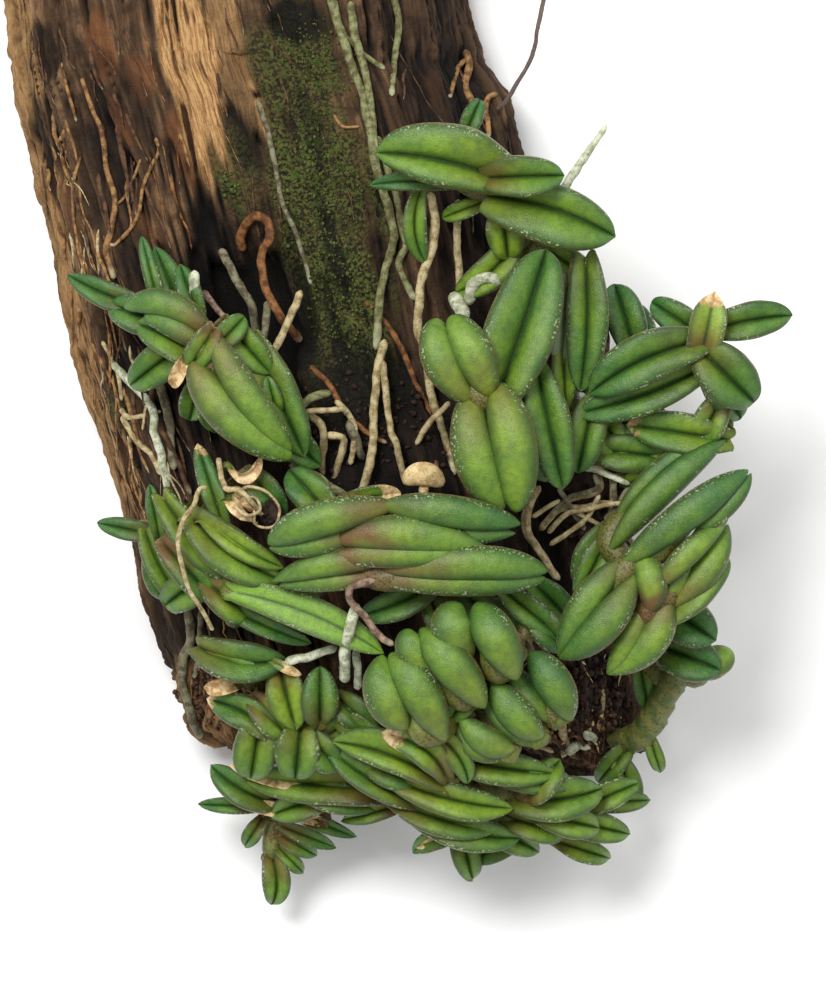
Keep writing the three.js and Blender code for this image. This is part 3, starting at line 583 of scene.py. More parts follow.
def leafRings(leaf, stemRoute):
    start, end = np.array(leaf["from"], float), np.array(leaf["to"], float)
    length = np.linalg.norm(end - start)
    axis = (end - start) / length
    right = unit(np.cross(axis, [0, 0, 1.0]))
    up = np.cross(right, axis)
    middle = (start + end) / 2 + right * 2 * leaf.get("bend", 0) + up * 2 * leaf.get("arch", 1.5)
    shares = np.linspace(0, 1, leafForm["rows"])
    widest, ears = leafForm["widest"], leafForm["ears"]
    phase = np.clip(shares - widest, 0, 1) / (1 - widest) * np.pi / 2
    basal = np.clip(shares / widest, 0, 1)
    base = leaf.get("base", leafForm["baseWidth"])
    marginX = np.where(shares < widest, base + (1 - base) * np.sin(basal * np.pi / 2) ** 0.9,
                       np.cos(phase) ** leaf.get("point", 1.0))
    tipA = widest + (1 - widest) * np.sin(phase)
    marginA = np.where(shares < widest, -ears + (widest + ears) * basal, tipA)
    midA = np.where(shares < widest, widest * basal, tipA)
    s = np.array(leafForm["across"])
    across = np.concatenate([-s[::-1], s[1:], s[::-1][1:], -s[1:-1]])  # once round: top, then underside
    top = np.concatenate([np.ones(2 * len(s) - 1), np.zeros(2 * len(s) - 3)])
    q = np.abs(across)[None, :]
    half = leaf["wide"] / 2
    a = midA[:, None] * (1 - q) + marginA[:, None] * q + 0.02 * np.sin(np.pi * q) * shares[:, None] ** 8
    a = a - 0.7 * ears * np.sin(np.pi * q) * (1 - shares[:, None]) ** 12
    x = across[None, :] * marginX[:, None] * half
    seed = int(abs(start[0] * 13 + start[1] * 7 + end[0] * 3)) + 1
    wave = layered(a * 3 + seed, across[None, :] * 1.2 + 5, 300 + seed % 50, 2)
    x = x * (1 + 0.04 * wave * q) * (1 + leaf.get("lean", 0) * np.sign(across)[None, :])
    swell = 0.45 + 0.55 * np.sin(np.clip(shares / 0.16, 0, 1) * np.pi / 2) ** 0.6
    flesh = leaf.get("thick", 1.0) * (1 - shares ** 9) ** 0.5 * swell
    flesh = flesh[:, None] * np.minimum(1, marginX[:, None] * half / 3.2) ** 0.5
    crest = leafForm["crownAt"]
    inner = 1 - (1 - np.minimum(1, q / crest)) ** 2.6
    outer = 1 - np.clip((q - crest) / (1 - crest), 0, 1) ** 2.8
    lobe = half * marginX[:, None] ** 0.8 * (inner ** 0.75 * outer ** 0.5)
    upper = leafForm["puff"] * leaf.get("puff", 1.0) * lobe * flesh * (1 + 0.12 * wave)
    keel = leafForm["keel"] * np.exp(-(q / 0.16) ** 2)
    lower = -(leafForm["under"] * (1 - q ** 2) ** 0.5 + keel) * flesh * ease(a, -0.1, 0.3)
    z = np.where(top[None, :] > 0.5, upper, lower)
    fold = math.radians(leaf.get("fold", leafForm["fold"])) * (1.9 - 0.9 * ease(a, 0, 0.75))
    z = z + np.abs(x) * np.sin(fold) + 0.5 * wave * q ** 2
    a3 = a[..., None]
    centre = (1 - a3) ** 2 * start + 2 * a3 * (1 - a3) * middle + a3 ** 2 * end
    tangent = unit(2 * (1 - a3) * (middle - start) + 2 * a3 * (end - middle))
    side = unit(np.cross(tangent, up))
    turn = math.radians(leaf.get("twist", 0)) * a3
    side = side * np.cos(turn) + np.cross(tangent, side) * np.sin(turn)
    out = np.cross(side, tangent)
    rings = centre + side * x[..., None] + out * z[..., None]
    ringAlong = np.broadcast_to(a, x.shape)
    # the sheath runs from the blade's base down to the stem
    gaps = np.linalg.norm(stemRoute - start, axis=1)
    seat = stemRoute[gaps.argmin()]
    firstAxis = tangent[0].mean(0)
    bendPoint = start - firstAxis * min(0.4 * gaps.min(), 3)
    angle = np.where(top > 0.5, np.arccos(-across), 2 * np.pi - np.arccos(-across))
    sideNow, outNow = side[0].mean(0), out[0].mean(0)
    count = leafForm["sheathRows"]
    sheathRings = []
    for k in range(count, 0, -1):
        share = k / count
        place = (1 - share) ** 2 * start + 2 * share * (1 - share) * bendPoint + share ** 2 * seat
        blend = ease(share, 0, 0.8)
        radius = leafForm["sheathRadius"] * (1 + 0.5 * (1 - share))
        sleeve = -sideNow * np.cos(angle)[:, None] * radius + outNow * np.sin(angle)[:, None] * radius * 0.8
        sheathRings.append(place + (rings[0] - start) * (1 - blend) + sleeve * blend)
    rings = np.concatenate([np.array(sheathRings), rings])
    down = -np.arange(count, 0, -1)[:, None] / count * np.ones(len(across))
    ringAlong = np.concatenate([down, ringAlong])
    ones = np.ones(ringAlong.shape)
    qFull = np.concatenate([np.repeat(q, count, 0) * 0.5 + 0.3, np.repeat(q, len(shares), 0)])
    underFull = (1 - top)[None, :] * ease(ringAlong, -0.1, 0.1) * (qFull < 0.995)
    underFull = np.maximum(underFull, leaf.get("pale", 0) * ones)
    values = {"along": ringAlong, "across": qFull, "under": underFull}
    values.update(leafValues(leaf, ringAlong.shape))
    return rings, values


def leafValues(leaf, shape):
    usual = {"youth": 0.45, "bronze": 0.25, "dryFrom": 2, "lime": 0}
    return {key: np.full(shape, float(leaf.get(key, value))) for key, value in usual.items()}


beanForm = {"rows": 26, "sides": 28, "high": 0.66, "low": 0.5, "blunt": 2.2}


def beanRings(groove, tip, middle, base, width, point=0.55, taper=0):  # one half of a leaf with parted halves
    start, middle, end = (np.array(place, float) for place in (tip, middle, base))
    share = (1 - np.cos(np.linspace(0, np.pi, beanForm["rows"])))[:, None] / 2
    bend = 2 * middle - (start + end) / 2
    centre = (1 - share) ** 2 * start + 2 * share * (1 - share) * bend + share ** 2 * end
    tangent = unit(2 * (1 - share) * (bend - start) + 2 * share * (end - bend))
    side = unit(np.cross(tangent, [0, 0, 1.0]))
    out = np.cross(side, tangent)
    angle = turns(beanForm["sides"])
    wide = width / 2 * (1 - np.abs(2 * share - 1) ** beanForm["blunt"]) ** point
    wide = wide * (1 - taper * (share - 0.5)) + 0.02
    uneven = 1 + 0.03 * layered(share * 4, angle * 0.9, 330 + int(abs(start[0] * 9)), 2)
    across = np.cos(angle) * np.abs(np.cos(angle)) ** 0.1
    high = np.sin(angle) * np.where(np.sin(angle) > 0, beanForm["high"], beanForm["low"])
    rings = tube(centre, side, out, wide * across * uneven, wide * high * uneven)
    towards = np.sign(np.dot(side[len(side) // 2], groove - middle)) or 1.0
    fromGroove = 0.02 + 0.98 * ((1 - towards * np.cos(angle)) / 2) ** 1.2 * np.ones(wide.shape)
    under = np.clip(-np.sin(angle) * 1.4 - 0.2, 0, 1) * np.ones(wide.shape)
    return rings, {"along": 1 - share * np.ones(under.shape), "across": fromGroove, "under": under * 0.4}


def leafShells(leaf, stemRoute):
    if "halves" not in leaf:
        return [leafRings(leaf, stemRoute)]
    tips, middles, bases = (np.array([half[i] for half in leaf["halves"]], float).mean(0) for i in (0, 1, 2))
    shells = [beanRings(middles, *half) for half in leaf["halves"]]
    start = bases - [0, 0, 1.5]
    seat = stemRoute[np.linalg.norm(stemRoute - start, axis=1).argmin()]
    tip = start + (tips - start) * 0.45
    route, _ = smoothRoute([seat, start, tip - [0, 0, 1.0]], 0.8)
    side, out = framesAlong(route)
    angle, share = turns(18), np.linspace(0, 1, len(route))[:, None]
    radius = leafForm["sheathRadius"] * (0.9 + 0.5 * np.sin(np.pi * share)) * np.sqrt(1.02 - share ** 4)
    rings = tube(route, side, out, np.cos(angle) * radius, np.sin(angle) * radius)
    along = -1 + 1.2 * share * np.ones(angle.shape)
    shells.append((rings, {"along": along, "across": along * 0 + 0.5, "under": along * 0}))
    for _, values in shells:
        values.update(leafValues(leaf, values["along"].shape))
    return shells


stemForm = {"radius": 2.1, "sheathLength": 4.6, "endTaper": 2.2}


def makeStem(name, route, radius, node):
    places, gone = smoothRoute(route, 0.7)
    side, out = framesAlong(places)
    angle, gone = turns(18), gone[:, None]
    saw = (gone / stemForm["sheathLength"] + 0.16 * np.cos(angle)) % 1  # one overlapping sheath after another
    size = radius * (0.86 + 0.2 * saw ** 0.7) * (1 + 0.05 * layered(gone / 3, angle, 400, 2))
    size = size * np.minimum(1, np.sqrt((gone[-1] - gone + 0.15) / stemForm["endTaper"]))
    rings = tube(places, side, out, np.cos(angle) * size, np.sin(angle) * size)
    return settle(ringPiece(name, [(rings, {"ringed": saw})]), stemFinish, node)


leafFinish, stemFinish = makeLeafFinish(), makeStemFinish()


def blade(start, end, wide, youth, bronze=None, **more):  # a leaf from its base to its tip
    brown = {} if bronze is None else {"bronze": bronze}
    return {"from": start, "to": end, "wide": wide, "youth": youth, **brown, **more}


def pair(youth, bronze, *halves):  # each half: tip, middle, base, width, and how pointed it is
    return {"youth": youth, "bronze": bronze, "halves": halves}


# "usual" is what all leaves of a shoot share; the lists "small", "sheath" and "dry" are numbered from 1
shoots = {
    "centre": {
        "stem": [(20, -60, 38), (19, -56, 46), (16, -50, 54), (14, -47, 58)],
        "leaves": {
            "young": pair(0.55, 1.3, ((38, -50.4, 62), (22, -46.6, 65), (6, -48.4, 62), 7.4, 0.8),
                ((38, -51.4, 62), (22, -50.6, 64), (2, -52, 61), 5.6, 0.8)),
            "upper_left": pair(0.4, 0.8, ((-6.2, -48.8, 61), (4, -43.8, 65), (20, -41, 63), 7.4, 0.7),
                ((-6, -49.6, 60), (3, -48.6, 62.4), (13, -46, 61), 5.4, 0.8)),
            "upper_right": pair(0.2, 0.3, ((44, -44.8, 62), (30, -42.2, 66), (15.6, -41, 63), 6.6, 0.7),
                ((43, -46.6, 61), (32, -46.4, 63), (22, -44.6, 61), 4.6, 0.8)),
            "lower_right": pair(0.4, 0.8, ((49.4, -54.2, 60), (35, -52.4, 64), (16, -54, 61), 7, 0.7),
                ((49, -55.6, 59), (34, -56.2, 62), (14, -56, 60), 6, 0.7)),
        },
        "small": [
            pair(0.5, 1.2, ((-5.4, -56.2, 58), (6, -52.6, 62), (17, -52.6, 61), 5.2, 0.8),
                ((-4, -57, 57), (6, -56, 60), (17, -55.6, 60), 4.4, 0.7)),
            blade((27, -56.4, 50), (12.4, -63, 49), 6.8, 0.2, bend=-0.8),
            blade((41, -58.4, 50), (52.4, -67.6, 49), 6, 0.25, 0.1),
            blade((47, -57, 44), (55, -65, 43), 7, 0.1, 0), blade((6, -43, 52), (-2, -34, 50), 8, 0.2),
            blade((26, -60, 46), (30, -68, 46), 6, 0.2, 0.6), blade((34, -60, 45), (44, -68, 44), 8, 0.1),
            blade((4, -56, 52), (-4, -62, 50), 6, 0.3, 0.5),
        ],
        "dry": [blade((9, -40, 50), (20, -38.6, 49), 4.4, 0.45, 1, dryFrom=0.6)],
    },
    "middle": {
        "stem": [(45, -36, 32), (43, -30, 42), (40, -23, 52), (38.5, -20, 58)],
        "leaves": {
            "upper_left": pair(0.62, 0.5, ((27.6, -4, 64), (28, -12, 66.4), (34, -20.4, 64), 7.6),
                ((30, -3.6, 64), (34.4, -10.6, 67), (38, -19.4, 64.4), 8.2)),
            "lower": pair(0.68, 0.5, ((43, -42.4, 61), (42.6, -29, 66), (38.8, -16.6, 63), 9.2),
                ((40.4, -42, 61), (34.8, -31, 65), (34, -18.4, 62.4), 8.8)),
            "upper_right": blade((39.5, -19, 60), (49, 9.4, 58), 14.4, 0.35, 0.1, bend=0.4),
            "lower_right": blade((47.4, -15, 57), (52.4, -37.4, 55), 9.4, 0.25, 0.05),
        },
        "small": [blade((45, -25, 50), (50, -36, 48), 7, 0.2)],
    },
    "side": {
        "stem": [(56, -33, 26), (56, -27, 36), (53.6, -17, 46), (53, -8, 50)],
        "leaves": {
            "upper": blade((57, 7.6, 53), (56, -18, 52), 8.6, 0.3, bend=-0.8),
            "inner_1": blade((53.6, 3.6, 52), (52, -13, 51), 6, 0.3, pale=0.9),
        },
        "small": [
            blade((58.6, -20.4, 50), (55.4, -34.4, 49), 8, 0.25),
            blade((67, -10, 45), (63, 3, 44), 8, 0, 0.2), blade((61, -24, 46), (64, -33, 44), 7, 0.5),
            blade((69, -12, 42), (67, -1, 41), 7, 0),
        ],
        "sheath": [blade((52.4, -6, 51), (53, -22, 49), 5, 0.7, 0.6)],
    },
    "top": {
        "stem": [(45.5, -6, 29), (47, 4, 38), (44.5, 12, 46), (41.8, 18, 51), (40.4, 21, 53)],
        "leaves": {
            "young": blade((38, 24, 62), (52.4, 24.4, 64), 8.2, 0.4, 0.7, fold=24),
            "left": blade((41, 23.4, 59), (15.6, 29, 60), 12.8, 0.55, bend=1.2, lean=0.2),
            "right": blade((38.6, 20.6, 57), (62.5, 12.6, 58), 12.6, 0.45, bend=-1.2, lean=0.2),
        },
        "small": [
            blade((43, 12, 47), (31.4, 1.6, 45), 7, 0.8, bend=-1.6),
            blade((24, 21.6, 49), (25, 7.6, 46), 4.8, 0.4, bend=1.6),
            blade((30, 23, 53), (14.2, 22.8, 52), 4, 0, bend=0.6),
            blade((50, 9.6, 48), (58.4, 3.8, 47), 6.4, 0.45, dryFrom=0.88),
            blade((33, 33, 46), (36, 40, 45), 4.4, 0), blade((47, 9, 45), (53, 1, 44), 6, 0.3, 0.4),
        ],
        "sheath": [
            blade((40.4, 18, 51), (41.6, 8.6, 49), 8, 0.9, 0.5),
            blade((37, 19.6, 50), (28.6, 16.4, 48), 4, 0.7, 0.5),
        ],
    },
    "front": {
        "stem": [(30, -84, 33), (33, -82, 42), (38, -77, 48), (45, -69, 50)],
        "leaves": {
            "1": pair(0.5, 0.35, ((16.6, -70.8, 57), (17, -79, 59), (21.6, -85.6, 57), 8.2, 0.68),
                ((18, -70.6, 57), (23.6, -77.6, 60), (29, -88, 56), 8.4, 0.68)),
            "2": pair(0.5, 0.35, ((22.2, -65.8, 59), (22.6, -70, 60), (27, -77, 58), 6.5, 0.68),
                ((24, -65.6, 59), (30.4, -72.6, 62.4), (37, -81.4, 58), 8.2, 0.68)),
            "3": pair(0.4, 0.3, ((32.4, -60.8, 60), (30.6, -65.4, 62), (34.6, -71, 60), 9.1, 0.68),
                ((35, -60.6, 60), (39, -67.2, 64), (43.4, -75.8, 60), 8.5, 0.68)),
            "4": pair(0.4, 0.2, ((38.6, -76, 55), (43, -82.6, 55.6), (48.6, -87.2, 54), 7.2, 0.68),
                ((37, -79, 52.6), (41, -84.6, 53), (47.6, -89, 52), 4.4, 0.68)),
            "5": pair(0.22, 0.2, ((45.6, -70.4, 55), (50.6, -76.4, 56), (54, -84, 53.6), 7.6, 0.68),
                ((42.4, -74.4, 52), (45.4, -79.4, 52.6), (50.6, -84, 51.6), 6.1, 0.68)),
            "6": pair(0.55, 0.3, ((32, -82.8, 53), (36.6, -87.6, 54), (43, -89.4, 52.6), 5.9, 0.68, -0.3),
                ((31.4, -84.4, 51), (35, -89.6, 51.4), (41, -91.2, 51), 4.2, 0.68)),
            "curl_1": blade((29, -95, 47), (16.6, -86.6, 49), 6.6, 0.6, 0.8, bend=2, dryFrom=0.72, arch=4),
            "curl_2": blade((25.6, -86, 51), (33.6, -96.4, 47), 5.4, 0.6, 1, bend=-1.6),
        },
        "small": [blade((47, -63, 49), (53, -70, 48), 7, 0.1, 0.4)],
        "sheath": [
            blade((35, -76, 52), (30, -84, 52), 6, 0.5, 1), blade((43, -68, 53), (38, -75, 53), 6, 0.5, 1),
        ],
    },
    "outer": {
        "stem": [(59, -68, 32), (63, -65, 40), (67, -60, 47), (68, -55, 51)],
        "leaves": {
            "1": pair(0.62, 0.7, ((85.6, -43.4, 54), (77.6, -50.4, 58), (70, -58.6, 56), 4.9, 0.92),
                ((85.4, -44.8, 52), (81.2, -54, 55), (73.4, -61.6, 53), 5.6, 0.82)),
            "2": pair(0.32, 0.4, ((51.4, -71.2, 54), (57, -60.4, 57), (64.6, -51.4, 56), 6.1, 0.87),
                ((51.6, -71.6, 54), (60.6, -64.8, 58), (67, -54.6, 57), 7.2, 0.82)),
            "3": pair(0.12, 0.15, ((89.4, -34, 56), (77.2, -42.6, 59), (63.4, -53.6, 56), 6.7, 0.72),
                ((90, -34.6, 55), (85.4, -41, 57), (77, -48.4, 56), 3.8, 0.92)),
            "4": pair(0.66, 0.7, ((61.2, -74.6, 51), (65.4, -68, 54), (69.4, -59.6, 54), 4.7, 0.92),
                ((61.4, -74.8, 51), (70.4, -67.8, 54), (73, -58.6, 54), 6.8, 0.82)),
        },
        "small": [
            pair(0.2, 0.25, ((85, -28, 51), (72.6, -37.6, 54.4), (61.6, -50.4, 52), 5.9, 0.72),
                ((84.6, -26.4, 50), (72, -34, 52), (62.6, -44.6, 50), 4.5, 0.82)),
            blade((73, -63, 52), (85, -51, 51), 9, 0.65),
            blade((63, -47, 46), (56, -61, 45), 6.4, 0.3, bend=1),
            blade((71, -60, 51), (84, -50, 50), 6.6, 0.8, 0.4),
            blade((62, -46, 45), (57, -58, 43), 8, 0.2, bend=1),
        ],
        "sheath": [
            pair(0.75, 1.4, ((67, -50.4, 55), (70, -56, 57.4), (69.6, -62.6, 55), 6.3, 0.67)),
            blade((64, -58, 50), (65.6, -70, 48), 5, 0.4, 0.9),
        ],
    },
    "right": {
        "stem": [(61, -38, 25), (67, -35, 34), (76, -31, 42), (83, -26, 46), (84, -19, 49), (80, -11, 52)],
        "leaves": {
            "1": blade((79, -8.6, 58), (58, -18.6, 56), 10.4, 0.2, bend=1.4),
            "2": blade((80, -14, 54), (56, -22.6, 52), 8.4, 0.2, bend=-0.8),
            "3": blade((80, -10.4, 57), (90.4, -20.4, 55), 11, 0.2, 0.5),
            "4": blade((82, -6, 55), (98, -3.2, 53), 7.6, 0.25, bend=-0.4, point=1.2),
        },
        "small": [
            blade((80, -7, 52), (70.4, -0.6, 50), 6.6, 0.1),
            blade((85, -28, 50), (65.6, -25, 49), 8.4, 0.5, dryFrom=0.88),
            blade((59, -30, 46), (73, -31.4, 45), 8, 0.3),
            blade((74.6, -31.6, 44), (65, -37.4, 43), 6.4, 0.9),
            blade((81, -12, 52), (88, -23.6, 49), 8, 0.3, 0.8),
            blade((78, -29, 45), (86, -23, 47), 8, 0.3, 0.4),
            blade((70, -22, 46), (60, -27, 45), 6, 0.2, 0.4),
        ],
        "sheath": [blade((84, -20, 51), (80, -28, 49), 7, 0.6, 0.8)],
        "dry": [
            blade((80.4, -9.4, 58.6), (82.6, 1.4, 59), 7.4, 1, 0.9, dryFrom=0.72, puff=0.3, base=0.9,
                point=1.7, thick=0.6),
        ],
    },
    "edge": {
        "stem": [(64, -89, 19), (69, -87, 25), (74, -78, 32), (79, -71, 37)], "radius": 2.9,
        "leaves": {
            "small_1": blade((74, -62, 40), (83, -68, 46), 10, 0, 0.2),
            "small_2": blade((68, -72, 30), (70, -82, 27), 4.6, 0.2),
            "small_3": blade((74, -70, 37), (84, -74, 41), 9.4, 0.05, 0.3),
            "knob": pair(0.75, 0.4, ((86, -70, 38), (83.4, -72.4, 39), (79, -75, 36), 6.4)),
            "small_5": blade((64, -92, 22), (67.4, -101, 18), 6, 0.5),
            "small_6": blade((70, -87, 25), (72.6, -95, 21), 3.4, 0.5),
            "small_7": blade((72, -64, 36), (80, -62, 37), 8, 0, 0.6),
            "small_8": blade((66, -90, 22), (60, -97, 20), 5.4, 0.4),
        },
    },
    "left": {
        "stem": [(-15, -18, 34), (-17, -13, 43), (-18.4, -9, 51), (-18, -7, 55)],
        "leaves": {
            "lower_right": pair(0.62, 0.7,
                ((-1.4, -31.6, 54.6), (-14, -23.2, 57.4), (-21.4, -12.4, 56), 8.2),
                ((-1.6, -30, 55.4), (-10.6, -18.8, 59), (-17.4, -6.6, 57), 6.6)),
            "upper_left": pair(0.35, 0.9, ((-35, -1.6, 51), (-26, -1, 54.6), (-17.6, -7.4, 54), 5.6),
                ((-31, -3.4, 52), (-25, -5.6, 54.4), (-18.6, -10, 54), 4.6)),
            "inner": blade((-9, -9, 51), (0.8, -31, 50), 9, 0.4, 0.4),
        },
        "small": [
            blade((-19, -12.4, 51.4), (-32.4, -5, 49), 8, 0.45, 0.5, bend=1),
            blade((-30, -2, 44), (-46.4, 5, 42), 5.6, 0.1, 0.7, bend=-0.6, point=1.3),
            blade((-28, -2, 47), (-31.6, 12.6, 46), 3.4, 0.1),
            blade((-23, -4, 45), (-29, 10.6, 43), 6, 0.1, point=1.3),
            blade((-22, -8, 46), (-34, -17, 42), 8, 0.4), blade((-18, -14, 48), (-17, -26.4, 44), 6.4, 0.4),
            blade((-16.4, -9.4, 55), (-11, -3.6, 55), 5.4, 0.4, 0.7),
            blade((-14.6, -5, 52), (-6, -14.6, 53), 6.6, 0.5, 0.6),
            blade((-4.6, -22.6, 51), (-6.4, -15.4, 55), 3.8, 0.5),
            blade((-26, -5, 46), (-38, -1, 45), 8, 0.2, 0.9), blade((-20, -4, 48), (-24, 7, 46), 5, 0.1),
            blade((-7, -24, 47), (4, -33, 46), 7, 0.3, 0.2), blade((-20, -16, 46), (-22, -24, 43), 6, 0.3),
        ],
        "sheath": [blade((-17, -6, 57), (-22, -14, 54), 6, 0.5, 1)],
        "dry": [
            blade((-22.8, -12, 54), (-25.4, -17.4, 53), 3, 0.45, dryFrom=0, puff=0.3, thick=0.5, fold=30),
        ],
    },
    "low_left": {
        "stem": [(-13, -64, 33), (-15, -58, 41), (-19, -51, 45), (-24, -45, 45)],
        "leaves": {
            "light": blade((-12, -58.6, 54), (16.4, -70.4, 53), 7.6, 0.95, 0, bend=-1.6, fold=2, thick=0.6,
                puff=0.16, lime=0.8, point=1.1),
            "wide": blade((-21, -44, 53), (-4, -56, 52), 9.6, 0.6, 0.4, bend=1),
        },
        "small": [
            blade((-27, -40, 49), (-8, -56.6, 47), 8, 0.55, bend=2),
            blade((-29, -47, 41), (-40.6, -44.6, 39), 4.6, 0.1, 0.6, point=1.3),
            blade((-31, -46, 42), (-22, -62, 41), 6, 0.4, bend=1),
            blade((-28, -48, 46), (-30, -37, 47), 3.4, 0.1),
            blade((-15, -46, 50), (-20.4, -29, 48), 4.8, 0.2, dryFrom=0.88),
            blade((-17, -60, 46), (2, -68.6, 46), 4.4, 0.1, bend=0.6),
            blade((-16, -53, 47), (-27, -61, 42), 8, 0.4, 0.9),
            blade((-18, -44.6, 55), (-3.4, -53.4, 54), 5, 0.8, bend=0.8),
            blade((-10, -35, 46), (-3, -43, 48), 6.4, 0, 0.8),
            blade((-26, -42, 45), (-17, -52, 47), 7, 0.3, 0.4),
            blade((-12, -57, 46), (0, -62, 47), 6.4, 0.3, 0.7),
            blade((-29, -49, 40), (-27, -60, 38), 7, 0.2),
        ],
        "sheath": [
            blade((-27, -49, 48), (-17, -60, 47), 7, 0.3, 1),
            blade((-18, -57, 49), (-10, -63, 46), 8, 0.7, 0.8),
        ],
        "dry": [
            blade((-13.6, -40, 53), (-8.6, -44.6, 56), 3.2, 0.45, dryFrom=0, puff=0.2, thick=0.4, twist=70,
                fold=40),
            blade((-12, -38.6, 52), (-7.4, -42.6, 55), 2.4, 0.45, dryFrom=0, bend=1.4, twist=-80, puff=0.2,
                thick=0.4, fold=36),
            blade((-13.6, -33.6, 50), (-8, -31.6, 52), 2.6, 0.45, dryFrom=0, bend=2.4, puff=0.2, thick=0.4,
                fold=44, twist=60),
        ],
    },
    "corner": {
        "stem": [(-7, -74, 32), (-5, -79, 34), (-3, -84, 33), (2, -90, 31)],
        "usual": {"point": 1.2, "bronze": 0.5},
        "small": [
            blade((-20, -69.6, 42), (-3, -72, 43), 8.4, 0.2, bend=1.6),
            blade((4, -84, 41), (4, -73.4, 44), 8, 0.3),
            blade((-5, -87, 38), (-18.6, -80, 36), 7, 0.3, bend=1, dryFrom=0.88),
            blade((-8, -84, 37), (-10, -96, 33), 9, 0.5), blade((0, -86, 38), (-1, -95.6, 36), 9.4, 0.5),
            blade((-19, -72, 41), (-8.6, -75.6, 43), 6.4, 0.4, 0.9, bend=-1),
            blade((8, -84, 40), (17, -88, 42), 5.4, 0.4), blade((8, -80, 40), (14.6, -86.6, 40), 7, 0.1),
            blade((6, -87, 38), (13, -82, 40), 6, 0.2), blade((2, -88, 38), (8, -94, 37), 7, 0.3),
        ],
        "sheath": [
            blade((-4, -74, 41), (-1, -86, 40), 8, 0.9, 0.8),
            blade((-9, -80, 39), (-2, -88, 38), 7, 0.6, 1),
        ],
        "dry": [
            blade((-13, -77, 39), (-19, -78, 39), 3.4, 0.45, dryFrom=0, puff=0.2, thick=0.4, fold=40),
            blade((-6, -72, 44), (0, -75, 44), 2.2, 0.45, dryFrom=0.4, puff=0.3, thick=0.5),
        ],
    },
    "bottom": {
        "stem": [(10, -90, 24), (18, -94, 31), (30, -97.4, 36), (44, -98.6, 34), (58, -100, 26)],
        "usual": {"point": 1.4, "bronze": 0.6, "fold": 20, "arch": 2.4},
        "leaves": {
            "1": blade((28.6, -96.4, 44), (6.6, -88.4, 43), 8.4, 0.75, bend=1.4, lean=0.2),
            "2": blade((29, -90.6, 43), (51.4, -94.8, 42), 7.6, 0.6, bend=0.8),
            "3": blade((20, -96.6, 41), (42.4, -101.8, 39), 7.4, 0.75, bend=1),
        },
        "small": [
            blade((23, -100.6, 37), (4.6, -88.8, 38), 6, 0.3, bend=-1),
            blade((20, -101, 36), (39.6, -106, 34), 7, 0.5, bend=1),
            blade((44, -100, 36), (60.4, -98, 34), 9.4, 0.5, 0.4, bend=1),
            blade((42, -104, 31), (54, -107, 28), 7, 0.6),
            blade((52, -104, 27), (66.2, -107.4, 24), 6.6, 0.6),
            blade((57, -101, 24), (70.4, -100.6, 21), 5, 0.5),
            blade((33, -107, 26), (22.6, -111, 24), 4.6, 0.4, bend=1),
            blade((32, -106, 24), (34.6, -116.6, 21), 6, 0.5),
            blade((46, -106, 25), (34, -113, 22), 6, 0.4),
            blade((52, -109, 24), (62.4, -112.4, 21), 5, 0.6),
            blade((24, -104, 34), (44, -108, 31), 7.4, 0.4, bend=1),
            blade((14, -92, 38), (24, -97, 40), 8, 0.3), blade((38, -94, 39), (55, -97, 38), 7, 0.3),
            blade((36, -104, 28), (48, -111, 25), 7, 0.5), blade((56, -102, 28), (68, -97, 27), 6, 0.6),
            blade((48, -103, 33), (60, -106, 31), 7, 0.6, 0.3),
        ],
        "sheath": [blade((46, -99, 39), (52, -92, 40), 7, 0.7, 0.9)],
        "dry": [blade((32, -107, 25), (23, -110, 25), 4, 0.45, 1, dryFrom=0.55)],
    },
    "hanging": {
        "stem": [(11, -89, 19), (4, -96, 19), (-5, -105, 14), (-6, -113, 12)],
        "usual": {"point": 1.5, "bronze": 1.1, "fold": 22, "arch": 2},
        "small": [
            blade((-6, -101, 20), (-18.2, -93.6, 20), 6.6, 0.3, 0.5, bend=-1, point=1.3),
            blade((-8, -102, 17), (-20.8, -101.6, 15), 3.6, 0.1),
            blade((0, -98, 25), (16, -102, 25), 7, 0.4, 0.5),
            blade((20, -101.6, 25), (8.4, -104.6, 21), 4.4, 0.6),
            blade((-4, -106, 16), (7, -110.4, 14), 3.6, 0.3, 0.7),
            blade((-2, -103, 18), (11, -108.2, 16), 3.4, 0.2),
            blade((-5, -110, 13), (0.4, -115.6, 11), 3.4, 0.4, 0.6),
            blade((-6, -112, 12), (-6, -122, 9), 6, 0.5, bend=-1),
            blade((-8, -104.6, 15), (-11.4, -110, 13), 3.8, 0.3, 0.9),
            blade((-4, -108, 15), (3, -112, 13), 4, 0.3, 0.9),
        ],
        "sheath": [
            blade((14, -97.6, 27), (-11, -96.6, 25), 8.6, 0.7, 1, base=0.9),
            blade((6, -99, 23), (-6, -103.6, 21), 7, 0.5, 1),
        ],
        "dry": [
            blade((4, -97.4, 27), (-14.6, -93.4, 24), 3.6, 0.45, dryFrom=0, bend=-0.6),
            blade((4, -105, 20), (-13, -101.8, 18), 3.4, 0.45, dryFrom=0, bend=0.8),
        ],
    },
}


